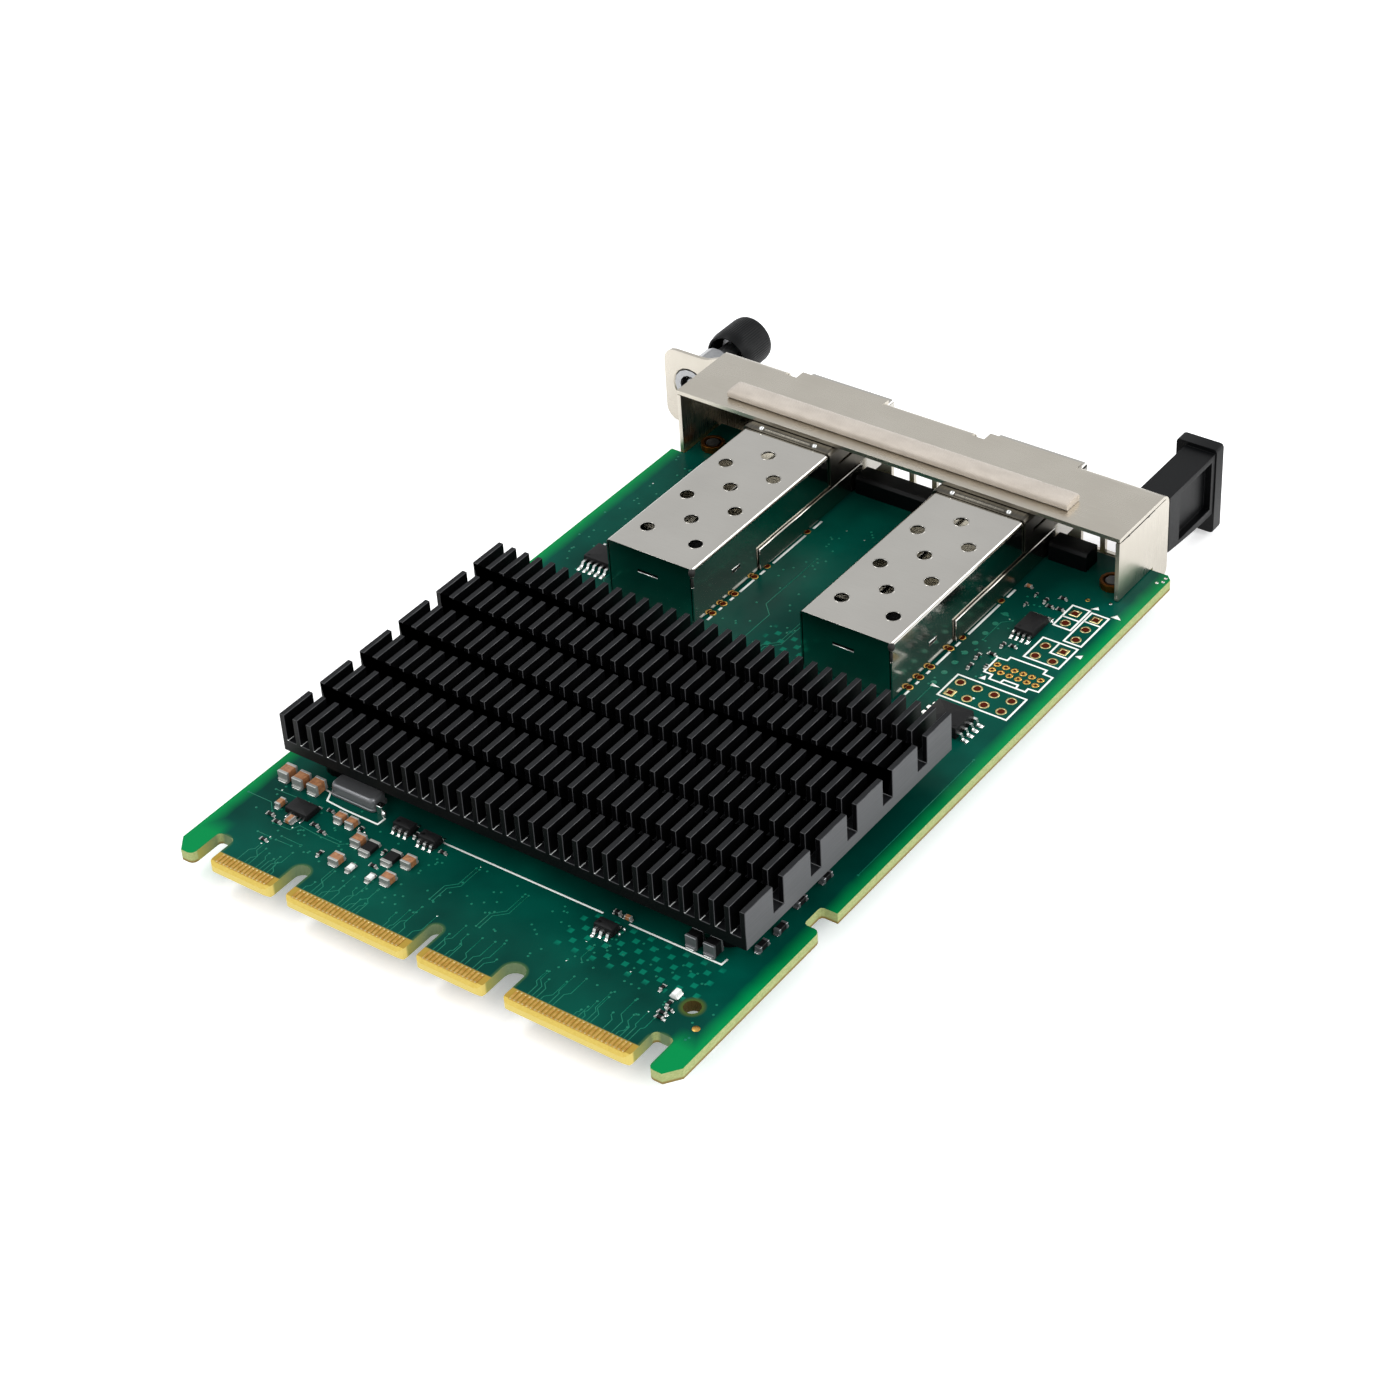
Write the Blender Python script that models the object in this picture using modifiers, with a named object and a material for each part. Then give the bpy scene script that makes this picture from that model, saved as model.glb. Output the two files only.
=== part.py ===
"""Mezzanine network card with two small pluggable ports.

The card is a 76 mm wide circuit board with four edge tongues at the front, a cross-cut fin heat
sink over its controller, two port cages at the back and a folded sheet bracket that holds a
captive thumbscrew, a pull tab and a conductive gasket.

Sizes are in millimetres and MM turns them into metres. In the card's frame X runs across the
board from its middle, Y runs from the tips of the tongues to the faceplate, and Z runs up from
the board's underside. The empty called card_frame carries every piece and puts the world's
origin under the middle of the board.
"""

import math

import bmesh
import bpy
from mathutils import Matrix, Vector

MM = 0.001

# Clearances
FIT = 0.3
SOLDER = 0.06
SHEET_GAP = 0.1

# How far a cutter reaches past the material, how deep joined solids bite, and a hair's breadth
REACH = 1.0
BITE = 0.2
HAIR = 0.02

# Circuit board; its width and length place the heat sink, the ports and the bracket
BOARD_WIDTH = 76.0
BOARD_LENGTH = 113.1
BOARD_THICKNESS = 1.6
LEG_CHAMFER_X = 1.5
LEG_CHAMFER_Y = 2.0
LEG_TIP_RADIUS = 0.8
BACK_CHAMFER = 0.8
TONGUE_RADIUS = 0.9
BEVEL_RUN = 0.45
BEVEL_DEPTH = 0.35
NOTCH_DEPTH = 2.35
NOTCH_START = 29.3
NOTCH_END = 32.9
NOTCH_CORNER = 0.8
NOTCH_RADIUS = 0.5
CORNER_CUT_X = 2.3
CORNER_CUT_Y = 9.1
TOOLING_HOLE_INSET = 5.0
TOOLING_HOLE_Y = 10.7
TOOLING_HOLE_RADIUS = 1.1

# Each key slot: left and right edge as shares of the board's width from its middle, depth from
# the tongue tips, radius of its closed corners
SLOT_SHARES = (
    (-0.4559, -0.4224, 5.0, 0.6),
    (-0.2947, -0.2618, 5.9, 1.2),
    (-0.0191, 0.0059, 6.2, 0.9),
    (0.1368, 0.1776, 5.9, 1.5),
    (0.4171, 0.4539, 5.3, 0.6),
)

# Edge contacts, one row for each tongue
CONTACT_COUNTS = (14, 28, 14, 28)
CONTACT_PITCH = 0.6
CONTACT_WIDTH = 0.36
CONTACT_SPINE_START = 0.5
CONTACT_SPINE_WIDTH = 0.16
CONTACT_END = 2.15
CONTACT_THICKNESS = 0.06
CONTACT_GAP = 0.02

# Heat sink, heights from the board's top face
SINK_SIDE_GAP = 2.7
SINK_CAGE_GAP = 8.45
SINK_FRONT = 18.5
SINK_BOTTOM = 3.7
SINK_TOP = 9.35
SINK_BASE = 1.7
FIN_COUNT = 33
FIN_THICKNESS = 0.75
FIN_ROWS = 6
ROW_GAP = 2.1
CHANNEL_SINK = 0.1
BOSS_RADIUS = 2.3
BOSS_INSET_X = 5.5
BOSS_INSET_Y = 4.4

# Controller under the heat sink
CHIP_SIZE = 25.0
CHIP_SUBSTRATE = 1.0
CHIP_BALLS = 0.3
CHIP_LID_SIZE = 20.0
CHIP_LID = 1.2
LID_EDGE = 0.15
PAD_THICKNESS = 0.5
PAD_GAP = 0.05
PEDESTAL_SIZE = 26.0

# Screws
SINK_SHANK_RADIUS = 1.0
SINK_HEAD_RADIUS = 2.2
SINK_HEAD_HEIGHT = 1.0
SINK_THREAD_LENGTH = 2.2
BRACKET_SHANK_RADIUS = 1.0
BRACKET_HEAD_RADIUS = 1.9
BRACKET_HEAD_HEIGHT = 1.0
HEAD_CROWN = 0.3

# Port cages, heights from the board's top face
PORT_PITCH = 31.0
PORTS_MIDDLE = -1.4
CAGE_WIDTH = 14.0
CAGE_PROUD = 1.75
CAGE_LENGTH = 48.4
CAGE_TOP = 9.0
CAGE_SHEET = 0.25
CAGE_BEND = 0.5
TIGHT_BEND = 0.05
CAGE_LIFT = 0.3
REAR_SEAM = 0.15
VENT_RADIUS = 1.05
VENT_OFFSET = 3.95
VENT_FIRST = 5.1
VENT_PITCH = 4.5
VENT_ROWS = 6
VENT_SIDES = 10
REAR_SLOT_CENTRE = -0.4
REAR_SLOT_WIDTH = 3.3
REAR_SLOT_Z = 5.4
REAR_SLOT_HEIGHT = 0.5
SIDE_SLOT_START = 8.6
SIDE_SLOT_LENGTH = 1.9
SIDE_SLOT_Z = 3.2
SIDE_SLOT_HEIGHT = 0.4
BASE_START = 14.6
BASE_END = 39.7
BASE_WALL_TOP = 3.7
COVER_UNDERCUT = 1.0
LATCH_RADIUS = 2.0
LATCH_FROM_FRONT = 3.4

# Springy collar round each cage
COLLAR_START = 31.9
COLLAR_SHEET = 0.2
COLLAR_GAP = 0.08
COLLAR_BAR = 2.0
COLLAR_SIDE_BOTTOM = 4.0
COLLAR_SLOT = 0.5
COLLAR_FINGERS = 5

# Receptacle inside each cage
RECEPTACLE_WIDTH = 9.4
RECEPTACLE_HEIGHT = 5.6
RECEPTACLE_START = 2.0
RECEPTACLE_LENGTH = 9.0
RECEPTACLE_SLOT_WIDTH = 8.2
RECEPTACLE_SLOT_HEIGHT = 1.4
RECEPTACLE_SLOT_Z = 2.6
RECEPTACLE_SLOT_DEPTH = 6.0
RECEPTACLE_EDGE = 0.3

# Bracket, heights from the board's top face
HOOD_LEFT_INSET = 1.35
HOOD_RIGHT_INSET = 3.35
HOOD_DEPTH = 13.15
FACE_OVERHANG = 4.35
SHEET = 0.6
HOOD_TOP = 10.0
FACE_BOTTOM = -3.4
HOOD_BEND = 1.7
FLANGE_SEAM = 0.12
FLANGE_SEAM_END = 0.4
FLANGE_CORNER = 1.5
FLANGE_LIFT = 0.15
LIP_WIDTH = 14.4
LIP_THINNING = 0.05
RELIEF_WIDTH = 2.0
RELIEF_DEPTH = 1.7
OPENING_WIDTH = 15.1
OPENING_BOTTOM = -0.2
WINDOW_WIDTH = 2.95
WINDOW_PITCH = 3.75
WINDOW_TOP = 6.0
WINDOW_LIFT = 0.2
MIDDLE_WINDOWS = 4
MIDDLE_WINDOW_START = 9.35
SIDE_WINDOWS = 2
SIDE_WINDOW_START = 9.1
FOOT_WIDTH = 7.5
LOWER_FLANGE_DEPTH = 3.95

# Ear that carries the thumbscrew
EAR_WIDTH = 11.75
EAR_TOP = 7.0
EAR_BOTTOM = -5.0
EAR_RADIUS = 2.0
EAR_NECK = 4.95
EAR_LOWER = 2.35
EAR_SHOULDER = 0.4
EAR_SINK_RADIUS = 2.95
EAR_SINK_DEPTH = 0.35
EAR_HOLE_SIDES = 16

# Gasket on the hood
GASKET_LEFT_INSET = 7.35
GASKET_RIGHT_INSET = 9.15
GASKET_FRONT_INSET = 2.0
GASKET_DEPTH = 3.3
GASKET_HEIGHT = 1.25
GASKET_RADIUS = 0.6
GASKET_GAP = 0.05

# Captive thumbscrew, lengths from the faceplate's outer face
SCREW_INSET = 4.4
SCREW_Z = 1.6
FERRULE_BARREL_RADIUS = 2.75
FERRULE_BORE_RADIUS = 2.2
FERRULE_NECK_RADIUS = 2.2
FERRULE_NECK_BORE = 1.7
FERRULE_FLANGE_RADIUS = 3.3
FERRULE_FLANGE = 0.8
FERRULE_LENGTH = 6.4
FERRULE_FLARE_RADIUS = 2.65
FERRULE_FLARE = 0.18
THREAD_RADIUS = 1.3
SHOULDER_RADIUS = 1.8
SCREW_HEAD_RADIUS = 2.4
SCREW_HEAD = 0.8
SCREW_POINT = 0.4
KNOB_RADIUS = 3.68
KNOB_NEAR = 8.6
KNOB_LENGTH = 6.9
KNOB_BORE_RADIUS = 3.1
KNOB_BORE_DEPTH = 3.4
KNOB_TAPER = 1.2
KNOB_EDGE = 0.5
KNOB_NEAR_RADIUS = 3.45
DRIVER_SLOT_WIDTH = 0.9
DRIVER_SLOT_DEPTH = 0.9
SCREW_TRAVEL = 4.2

# Pull tab, heights from the board's top face
TAB_INSET = 2.35
TAB_WIDTH = 4.6
TAB_TOP = 8.8
TAB_BOTTOM = 0.0
TAB_BELLY = -0.85
TAB_REACH = 12.75
TAB_BLOCK = 2.9
TAB_POCKET_DEPTH = 1.0
TAB_POCKET_BOTTOM = 0.3
TAB_POCKET_TOP = 7.9
TAB_POCKET_END = 0.9
TAB_PLATE_SHIFT = -0.6
TAB_PLATE_WIDTH = 6.2
TAB_PLATE_BOTTOM = -4.1
TAB_PLATE_TOP = 9.45
TAB_PLATE_THICKNESS = 2.0
TAB_PLATE_RADIUS = 0.5
TAB_SCREW_SHIFT = -0.4
TAB_SCREW_Z = 4.4
TAB_SHANK_RADIUS = 1.0
TAB_HEAD_RADIUS = 1.8
TAB_HEAD_HEIGHT = 0.9
TAB_SCREW_DEPTH = 4.0

# Bracket fastening to the board
FASTENER_LEFT_INSET = 3.65
FASTENER_RIGHT_INSET = 2.5
FASTENER_FRONT_INSET = 2.9
NUT_RADIUS = 1.75
NUT_HEIGHT = 1.0

# Indicator housings behind the faceplate
HOUSING_FRONT_INSET = 3.7
HOUSING_DEPTH = 3.0
HOUSING_HEIGHT = 2.7
HOUSING_CHAMFER = 0.4
HOUSING_CAGE_GAP = 0.35
MIDDLE_HOUSING_END_GAP = 1.55
SIDE_HOUSING_LENGTH = 5.8

# Packages with leads: length, width, height, leads a side, pitch, lead width, span over leads
FLASH_PACKAGE = (2.9, 4.4, 1.05, 4, 0.8, 0.34, 6.3)
MONITOR_PACKAGE = (4.5, 5.4, 1.7, 4, 1.27, 0.42, 7.9)
BUFFER_PACKAGE = (4.9, 3.6, 1.1, 5, 0.95, 0.36, 7.2)
TRANSISTOR = (2.9, 1.6, 1.1, 3, 0.95, 0.4, 2.8)
LEAD_THICKNESS = 0.15
LEAD_ROOT = 0.3
PACKAGE_LIFT = 0.1
PACKAGE_DRAFT = 0.15

# Ceramic capacitors: length, width, height, length of one metal end
LOW_CAPACITOR = (2.1, 1.65, 1.45, 0.45)
TALL_CAPACITOR = (1.9, 1.6, 1.9, 0.45)
EDGE_CAPACITOR = (1.9, 0.9, 0.8, 0.35)
CAPACITOR_NECK = 0.05

# Plain packages: width, depth, height, rounding
DRIVER_CHIP = (3.65, 2.75, 0.9, 0.15)
CRYSTAL_CAN = (7.3, 3.0, 1.8, 0.4)
LAMP = (1.2, 1.3, 0.8, 0.12)

# Surface-mounted pieces: name, X, Y of the centre, with X from the board's middle
FLASH_CHIPS = (("flash_chip", 27.95, 93.4),)
MONITOR_CHIPS = (("monitor_chip", 29.55, 70.4),)
BUFFER_CHIPS = (("clock_buffer_chip", -29.15, 76.6),)
TRANSISTORS = (
    ("regulator_1", -15.4, 17.7),
    ("regulator_2", -11.2, 17.4),
    ("load_switch", 16.8, 16.0),
)
TALL_CAPACITORS = (
    ("capacitor_4", 27.1, 19.5),
    ("capacitor_5", 29.7, 19.5),
)
DRIVER_CHIPS = (("power_driver_chip", -28.5, 13.45),)
CRYSTAL_CANS = (("crystal_can", -24.3, 19.35),)
LAMPS = (("status_led", 30.43, 11.2),)

# The same with X from the board's left edge
LOW_CAPACITORS = (
    ("capacitor_1", 3.4, 17.75),
    ("capacitor_2", 5.85, 17.6),
    ("capacitor_3", 8.3, 17.65),
)

# The same with X from the board's right edge
EDGE_CAPACITORS = (
    ("edge_capacitor_1", -4.0, 23.2),
    ("edge_capacitor_2", -3.9, 26.9),
    ("edge_capacitor_3", -4.7, 32.1),
    ("edge_capacitor_4", -4.6, 37.3),
)


def remove_everything():
    """Empties the file of the objects it opened with."""
    for item in list(bpy.data.objects):
        bpy.data.objects.remove(item, do_unlink=True)


def new_collection(name):
    """A collection of its own under the scene."""
    collection = bpy.data.collections.new(name)
    bpy.context.scene.collection.children.link(collection)
    return collection


def linear(channel):
    """One sRGB channel as a linear value."""
    if channel <= 0.04045:
        return channel / 12.92
    return ((channel + 0.055) / 1.055) ** 2.4


def material(name, colour, roughness, metallic=0.0):
    """A Principled material from a hex colour."""
    made = bpy.data.materials.new(name)
    made.use_nodes = True
    shader = made.node_tree.nodes["Principled BSDF"]
    channels = [linear(int(colour[i:i + 2], 16) / 255) for i in (1, 3, 5)]
    shader.inputs["Base Color"].default_value = (*channels, 1.0)
    shader.inputs["Roughness"].default_value = roughness
    shader.inputs["Metallic"].default_value = metallic
    return made


def tool_object(mesh, name="tool"):
    """Holds a mesh as a hidden helper in the cutters collection."""
    made = bpy.data.objects.new(name, mesh)
    CUTTERS.objects.link(made)
    made.hide_render = True
    made.display_type = "WIRE"
    return made


def from_bmesh(bm, name="tool"):
    """Turns a bmesh into a helper object."""
    mesh = bpy.data.meshes.new(name)
    bm.to_mesh(mesh)
    bm.free()
    return tool_object(mesh, name)


def block(x, y, z):
    """A box between two planes on each axis."""
    bm = bmesh.new()
    bmesh.ops.create_cube(bm, size=1.0)
    size = Vector((x[1] - x[0], y[1] - y[0], z[1] - z[0])) * MM
    centre = Vector((x[0] + x[1], y[0] + y[1], z[0] + z[1])) * (MM / 2)
    bmesh.ops.scale(bm, vec=size, verts=bm.verts)
    bmesh.ops.translate(bm, vec=centre, verts=bm.verts)
    return from_bmesh(bm)


def cylinder(centre, radius, low, high, sides=16):
    """A round bar along Z at a point in plan."""
    bm = bmesh.new()
    bmesh.ops.create_cone(bm, cap_ends=True, segments=sides, radius1=radius * MM,
                          radius2=radius * MM, depth=(high - low) * MM)
    middle = Vector((centre[0], centre[1], (low + high) / 2)) * MM
    bmesh.ops.translate(bm, vec=middle, verts=bm.verts)
    return from_bmesh(bm)


def along_y(item):
    """Lays a piece that was made along Z down along Y."""
    item.data.transform(Matrix.Rotation(math.radians(-90), 4, "X"))
    return item


def moved(item, x=0.0, y=0.0, z=0.0):
    """Shifts a helper's mesh."""
    item.data.transform(Matrix.Translation(Vector((x, y, z)) * MM))
    return item


def arc(centre, radius, start, end, steps):
    """Points on an arc, with angles in degrees."""
    points = []
    for step in range(steps + 1):
        angle = math.radians(start + (end - start) * step / steps)
        points.append((centre[0] + radius * math.cos(angle), centre[1] + radius * math.sin(angle)))
    return points


def circle(centre, radius, sides=16):
    """A closed round outline."""
    return arc(centre, radius, 0, 360, sides)[:-1]


def rounded_rectangle(x, y, radius, steps=3):
    """A rectangle outline with round corners."""
    points = arc((x[1] - radius, y[0] + radius), radius, -90, 0, steps)
    points += arc((x[1] - radius, y[1] - radius), radius, 0, 90, steps)
    points += arc((x[0] + radius, y[1] - radius), radius, 90, 180, steps)
    points += arc((x[0] + radius, y[0] + radius), radius, 180, 270, steps)
    return points


AXES = {
    "XY": Matrix(((1, 0, 0), (0, 1, 0), (0, 0, 1))).to_4x4(),
    "XZ": Matrix(((1, 0, 0), (0, 0, -1), (0, 1, 0))).to_4x4(),
    "YZ": Matrix(((0, 0, 1), (1, 0, 0), (0, 1, 0))).to_4x4(),
}


def plate(outlines, low, high, plane="XY"):
    """A flat outline, with holes as further outlines, made solid between two parallel planes."""
    curve = bpy.data.curves.new("outline", "CURVE")
    curve.dimensions = "2D"
    curve.fill_mode = "BOTH"
    curve.extrude = (high - low) * MM / 2
    for points in outlines:
        spline = curve.splines.new("POLY")
        spline.points.add(len(points) - 1)
        for point, (u, v) in zip(spline.points, points):
            point.co = (u * MM, v * MM, 0.0, 1.0)
        spline.use_cyclic_u = True
    drawn = bpy.data.objects.new("outline", curve)
    CUTTERS.objects.link(drawn)
    middle = (low + high) * MM / 2
    shift = {"XY": (0, 0, middle), "XZ": (0, middle, 0), "YZ": (middle, 0, 0)}[plane]
    drawn.matrix_world = Matrix.Translation(shift) @ AXES[plane]
    bpy.context.view_layer.update()
    graph = bpy.context.evaluated_depsgraph_get()
    mesh = bpy.data.meshes.new_from_object(drawn.evaluated_get(graph))
    mesh.transform(drawn.matrix_world)
    bpy.data.objects.remove(drawn, do_unlink=True)
    clean_faces(mesh)
    return tool_object(mesh)


def clean_faces(mesh):
    """Welds doubled points, merges flat neighbours and turns every face outwards."""
    bm = bmesh.new()
    bm.from_mesh(mesh)
    bmesh.ops.remove_doubles(bm, verts=bm.verts, dist=0.000001)
    bmesh.ops.dissolve_degenerate(bm, edges=bm.edges, dist=0.000001)
    bmesh.ops.dissolve_limit(bm, angle_limit=math.radians(0.2), verts=bm.verts, edges=bm.edges)
    bmesh.ops.recalc_face_normals(bm, faces=bm.faces)
    bm.to_mesh(mesh)
    bm.free()


def bake(item):
    """Replaces an object's mesh by what its modifiers make of it."""
    bpy.context.view_layer.update()
    graph = bpy.context.evaluated_depsgraph_get()
    mesh = bpy.data.meshes.new_from_object(item.evaluated_get(graph))
    item.modifiers.clear()
    item.data = mesh
    return item


def turned(profile, sides=16):
    """A turned solid round Z from (radius, height) points that run down its outer side."""
    mesh = bpy.data.meshes.new("profile")
    points = [(radius * MM, 0.0, height * MM) for radius, height in profile]
    edges = [(i, i + 1) for i in range(len(points) - 1)]
    if profile[0][0] > 0:
        edges.append((len(points) - 1, 0))
    mesh.from_pydata(points, edges, [])
    item = tool_object(mesh)
    screw = item.modifiers.new("turn", "SCREW")
    screw.axis = "Z"
    screw.steps = sides
    screw.render_steps = sides
    screw.use_merge_vertices = True
    screw.merge_threshold = 0.00001
    bake(item)
    clean_faces(item.data)
    return item


def combine(item, tools, operation):
    """Joins tools to a piece or cuts them from it, then drops them."""
    for tool in tools:
        step = item.modifiers.new(operation.lower(), "BOOLEAN")
        step.operation = operation
        step.solver = "EXACT"
        step.object = tool
        bake(item)
        clean_faces(item.data)
    for tool in tools:
        bpy.data.objects.remove(tool, do_unlink=True)
    return item


def join(item, *tools):
    """Boolean union."""
    return combine(item, tools, "UNION")


def cut(item, *tools):
    """Boolean difference."""
    return combine(item, tools, "DIFFERENCE")


def one_mesh(items):
    """Gathers separate helpers in one mesh, for use as a single tool."""
    bm = bmesh.new()
    for item in items:
        bm.from_mesh(item.data)
        bpy.data.objects.remove(item, do_unlink=True)
    return from_bmesh(bm)


def soften(item, width, segments=2, angle=40):
    """Rounds a piece's sharp edges."""
    bevel = item.modifiers.new("edges", "BEVEL")
    bevel.width = width * MM
    bevel.segments = segments
    bevel.limit_method = "ANGLE"
    bevel.angle_limit = math.radians(angle)
    return bake(item)


def piece(name, helper, look, x=0.0, y=0.0, z=0.0, smooth=None):
    """Makes a helper's mesh a named sub-part at its place on the card."""
    mesh = helper.data
    bpy.data.objects.remove(helper, do_unlink=True)
    mesh.name = name
    mesh.materials.clear()
    mesh.materials.append(look)
    if smooth is not None:
        mesh.shade_smooth()
        mesh.set_sharp_from_angle(angle=math.radians(smooth))
    return copy_of(name, mesh, x, y, z)


def copy_of(name, mesh, x=0.0, y=0.0, z=0.0):
    """Places a mesh on the card as an object of its own."""
    made = bpy.data.objects.new(name, mesh)
    PARTS.objects.link(made)
    made.parent = CARD
    made.location = Vector((x, y, z)) * MM
    return made


# Places that several pieces share, worked out from the board and its neighbours
TOP = BOARD_THICKNESS
BOARD_SIDE = BOARD_WIDTH / 2
KEY_SLOTS = tuple((BOARD_WIDTH * left, BOARD_WIDTH * right, depth, radius)
                  for left, right, depth, radius in SLOT_SHARES)
FACE_OUTER = BOARD_LENGTH + FACE_OVERHANG
FACE_INNER = FACE_OUTER - SHEET
HOOD_LEFT = HOOD_LEFT_INSET - BOARD_SIDE
HOOD_RIGHT = BOARD_SIDE - HOOD_RIGHT_INSET
HOOD_FRONT = FACE_OUTER - HOOD_DEPTH
CAGE_CENTRES = (PORTS_MIDDLE - PORT_PITCH / 2, PORTS_MIDDLE + PORT_PITCH / 2)
CAGE_REAR = FACE_OUTER + CAGE_PROUD - CAGE_LENGTH
CAGE_SIDE = CAGE_WIDTH / 2 + SHEET_GAP + CAGE_SHEET
SINK_WIDTH = BOARD_WIDTH - 2 * SINK_SIDE_GAP
SINK_LENGTH = CAGE_REAR - SINK_CAGE_GAP - SINK_FRONT
SINK_CENTRE_Y = SINK_FRONT + SINK_LENGTH / 2
BOSS_X = SINK_WIDTH / 2 - BOSS_INSET_X
BOSS_Y = SINK_LENGTH / 2 - BOSS_INSET_Y
EAR_LEFT = HOOD_LEFT - EAR_WIDTH
SCREW_X = EAR_LEFT + SCREW_INSET
TAB_CENTRE = HOOD_RIGHT - TAB_INSET
TAB_SCREW_X = TAB_CENTRE + TAB_SCREW_SHIFT
TAB_END = FACE_OUTER + TAB_REACH
EAR_HOLE_RADIUS = FERRULE_NECK_RADIUS + FIT


def sink_fastener_places():
    """Plan positions of the heat sink's four screws."""
    return [(x, SINK_CENTRE_Y + y) for x in (-BOSS_X, BOSS_X) for y in (-BOSS_Y, BOSS_Y)]


def bracket_fastener_places():
    """Plan positions of the bracket's two screws."""
    y = HOOD_FRONT + FASTENER_FRONT_INSET
    return [(HOOD_LEFT + FASTENER_LEFT_INSET, y), (HOOD_RIGHT - FASTENER_RIGHT_INSET, y)]


def slot_outline(slot):
    """The closed end of one key slot, walked from its left edge to its right one."""
    left, right, depth, radius = slot
    points = arc((left + radius, depth - radius), radius, 180, 90, 4)
    points += arc((right - radius, depth - radius), radius, 90, 0, 4)
    return points


def board_outline():
    """The board's edge, from the left leg along the tongues and round the back."""
    half = BOARD_SIDE
    points = [(-half, LEG_CHAMFER_Y), (-half + LEG_CHAMFER_X, 0.0)]
    radius = LEG_TIP_RADIUS
    for index, slot in enumerate(KEY_SLOTS):
        points += arc((slot[0] - radius, radius), radius, -90, 0, 3)
        points += slot_outline(slot)
        last = index == len(KEY_SLOTS) - 1
        radius = LEG_TIP_RADIUS if last else TONGUE_RADIUS
        points += arc((slot[1] + radius, radius), radius, 180, 270, 3)
    points += [(half - LEG_CHAMFER_X, 0.0), (half, LEG_CHAMFER_Y)]
    floor = half - NOTCH_DEPTH + NOTCH_RADIUS
    points += arc((half - NOTCH_CORNER, NOTCH_START - NOTCH_CORNER), NOTCH_CORNER, 0, 90, 3)
    points += arc((floor, NOTCH_START + NOTCH_RADIUS), NOTCH_RADIUS, 270, 180, 2)
    points += arc((floor, NOTCH_END - NOTCH_RADIUS), NOTCH_RADIUS, 180, 90, 2)
    points += [(half, NOTCH_END)]
    points += [(half, BOARD_LENGTH - BACK_CHAMFER), (half - BACK_CHAMFER, BOARD_LENGTH)]
    points += [(-half + CORNER_CUT_X, BOARD_LENGTH)]
    points += [(-half + CORNER_CUT_X, BOARD_LENGTH - CORNER_CUT_Y)]
    points += [(-half, BOARD_LENGTH - CORNER_CUT_Y)]
    return points


def tip_wedge(top):
    """A wedge that bevels one edge of all the tongues."""
    rise = BEVEL_DEPTH / BEVEL_RUN
    points = [(-REACH, -BEVEL_DEPTH - rise * REACH), (BEVEL_RUN + REACH, rise * REACH),
              (-REACH, rise * REACH)]
    if top:
        points = [(y, BOARD_THICKNESS + z) for y, z in points]
    else:
        points = [(y, -z) for y, z in points]
    left = KEY_SLOTS[0][1] - FIT
    right = KEY_SLOTS[-1][0] + FIT
    return plate([points], left, right, "YZ")


def make_board():
    """The circuit board with its tongues, key slots, notch and holes."""
    tooling_hole = (BOARD_SIDE - TOOLING_HOLE_INSET, TOOLING_HOLE_Y)
    outlines = [board_outline(), circle(tooling_hole, TOOLING_HOLE_RADIUS)]
    outlines += [circle(at, SINK_SHANK_RADIUS + FIT, 8) for at in sink_fastener_places()]
    outlines += [circle(at, BRACKET_SHANK_RADIUS + FIT, 12) for at in bracket_fastener_places()]
    board = plate(outlines, 0.0, BOARD_THICKNESS)
    cut(board, tip_wedge(True), tip_wedge(False))
    piece("circuit_board", board, LOOKS["board"])


def contact_comb(count):
    """One row of edge contacts on their plating spine, centred on X."""
    spine_end = CONTACT_SPINE_START + CONTACT_SPINE_WIDTH
    half = CONTACT_WIDTH / 2
    last = (count - 1) / 2 * CONTACT_PITCH
    points = [(-last - half, CONTACT_SPINE_START), (last + half, CONTACT_SPINE_START)]
    for index in range(count):
        x = last - index * CONTACT_PITCH
        if index > 0:
            points.append((x + half, spine_end))
        points += [(x + half, CONTACT_END), (x - half, CONTACT_END)]
        if index < count - 1:
            points.append((x - half, spine_end))
    return plate([points], -CONTACT_THICKNESS / 2, CONTACT_THICKNESS / 2)


def make_contacts():
    """The gold contacts on both faces of each tongue."""
    half = CONTACT_THICKNESS / 2
    lift = CONTACT_GAP + half
    for index, count in enumerate(CONTACT_COUNTS):
        centre = (KEY_SLOTS[index][1] + KEY_SLOTS[index + 1][0]) / 2
        piece(f"edge_contacts_top_{index + 1}", contact_comb(count), LOOKS["gold"],
              centre, 0.0, TOP + lift)
        reach = ((count - 1) * CONTACT_PITCH + CONTACT_WIDTH) / 2
        row = block((-reach, reach), (CONTACT_SPINE_START, CONTACT_END), (-half, half))
        piece(f"edge_contacts_bottom_{index + 1}", row, LOOKS["gold"], centre, 0.0, -lift)


def fin_profile():
    """The extruded section of the heat sink, a base with tall thin fins."""
    half = SINK_WIDTH / 2
    height = SINK_TOP - SINK_BOTTOM
    pitch = (SINK_WIDTH - FIN_THICKNESS) / (FIN_COUNT - 1)
    points = [(-half, 0.0), (half, 0.0)]
    for index in range(FIN_COUNT):
        right = half - index * pitch
        left = right - FIN_THICKNESS
        if index > 0:
            points.append((right, SINK_BASE))
        points += [(right, height), (left, height)]
        if index < FIN_COUNT - 1:
            points.append((left, SINK_BASE))
    return points


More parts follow.
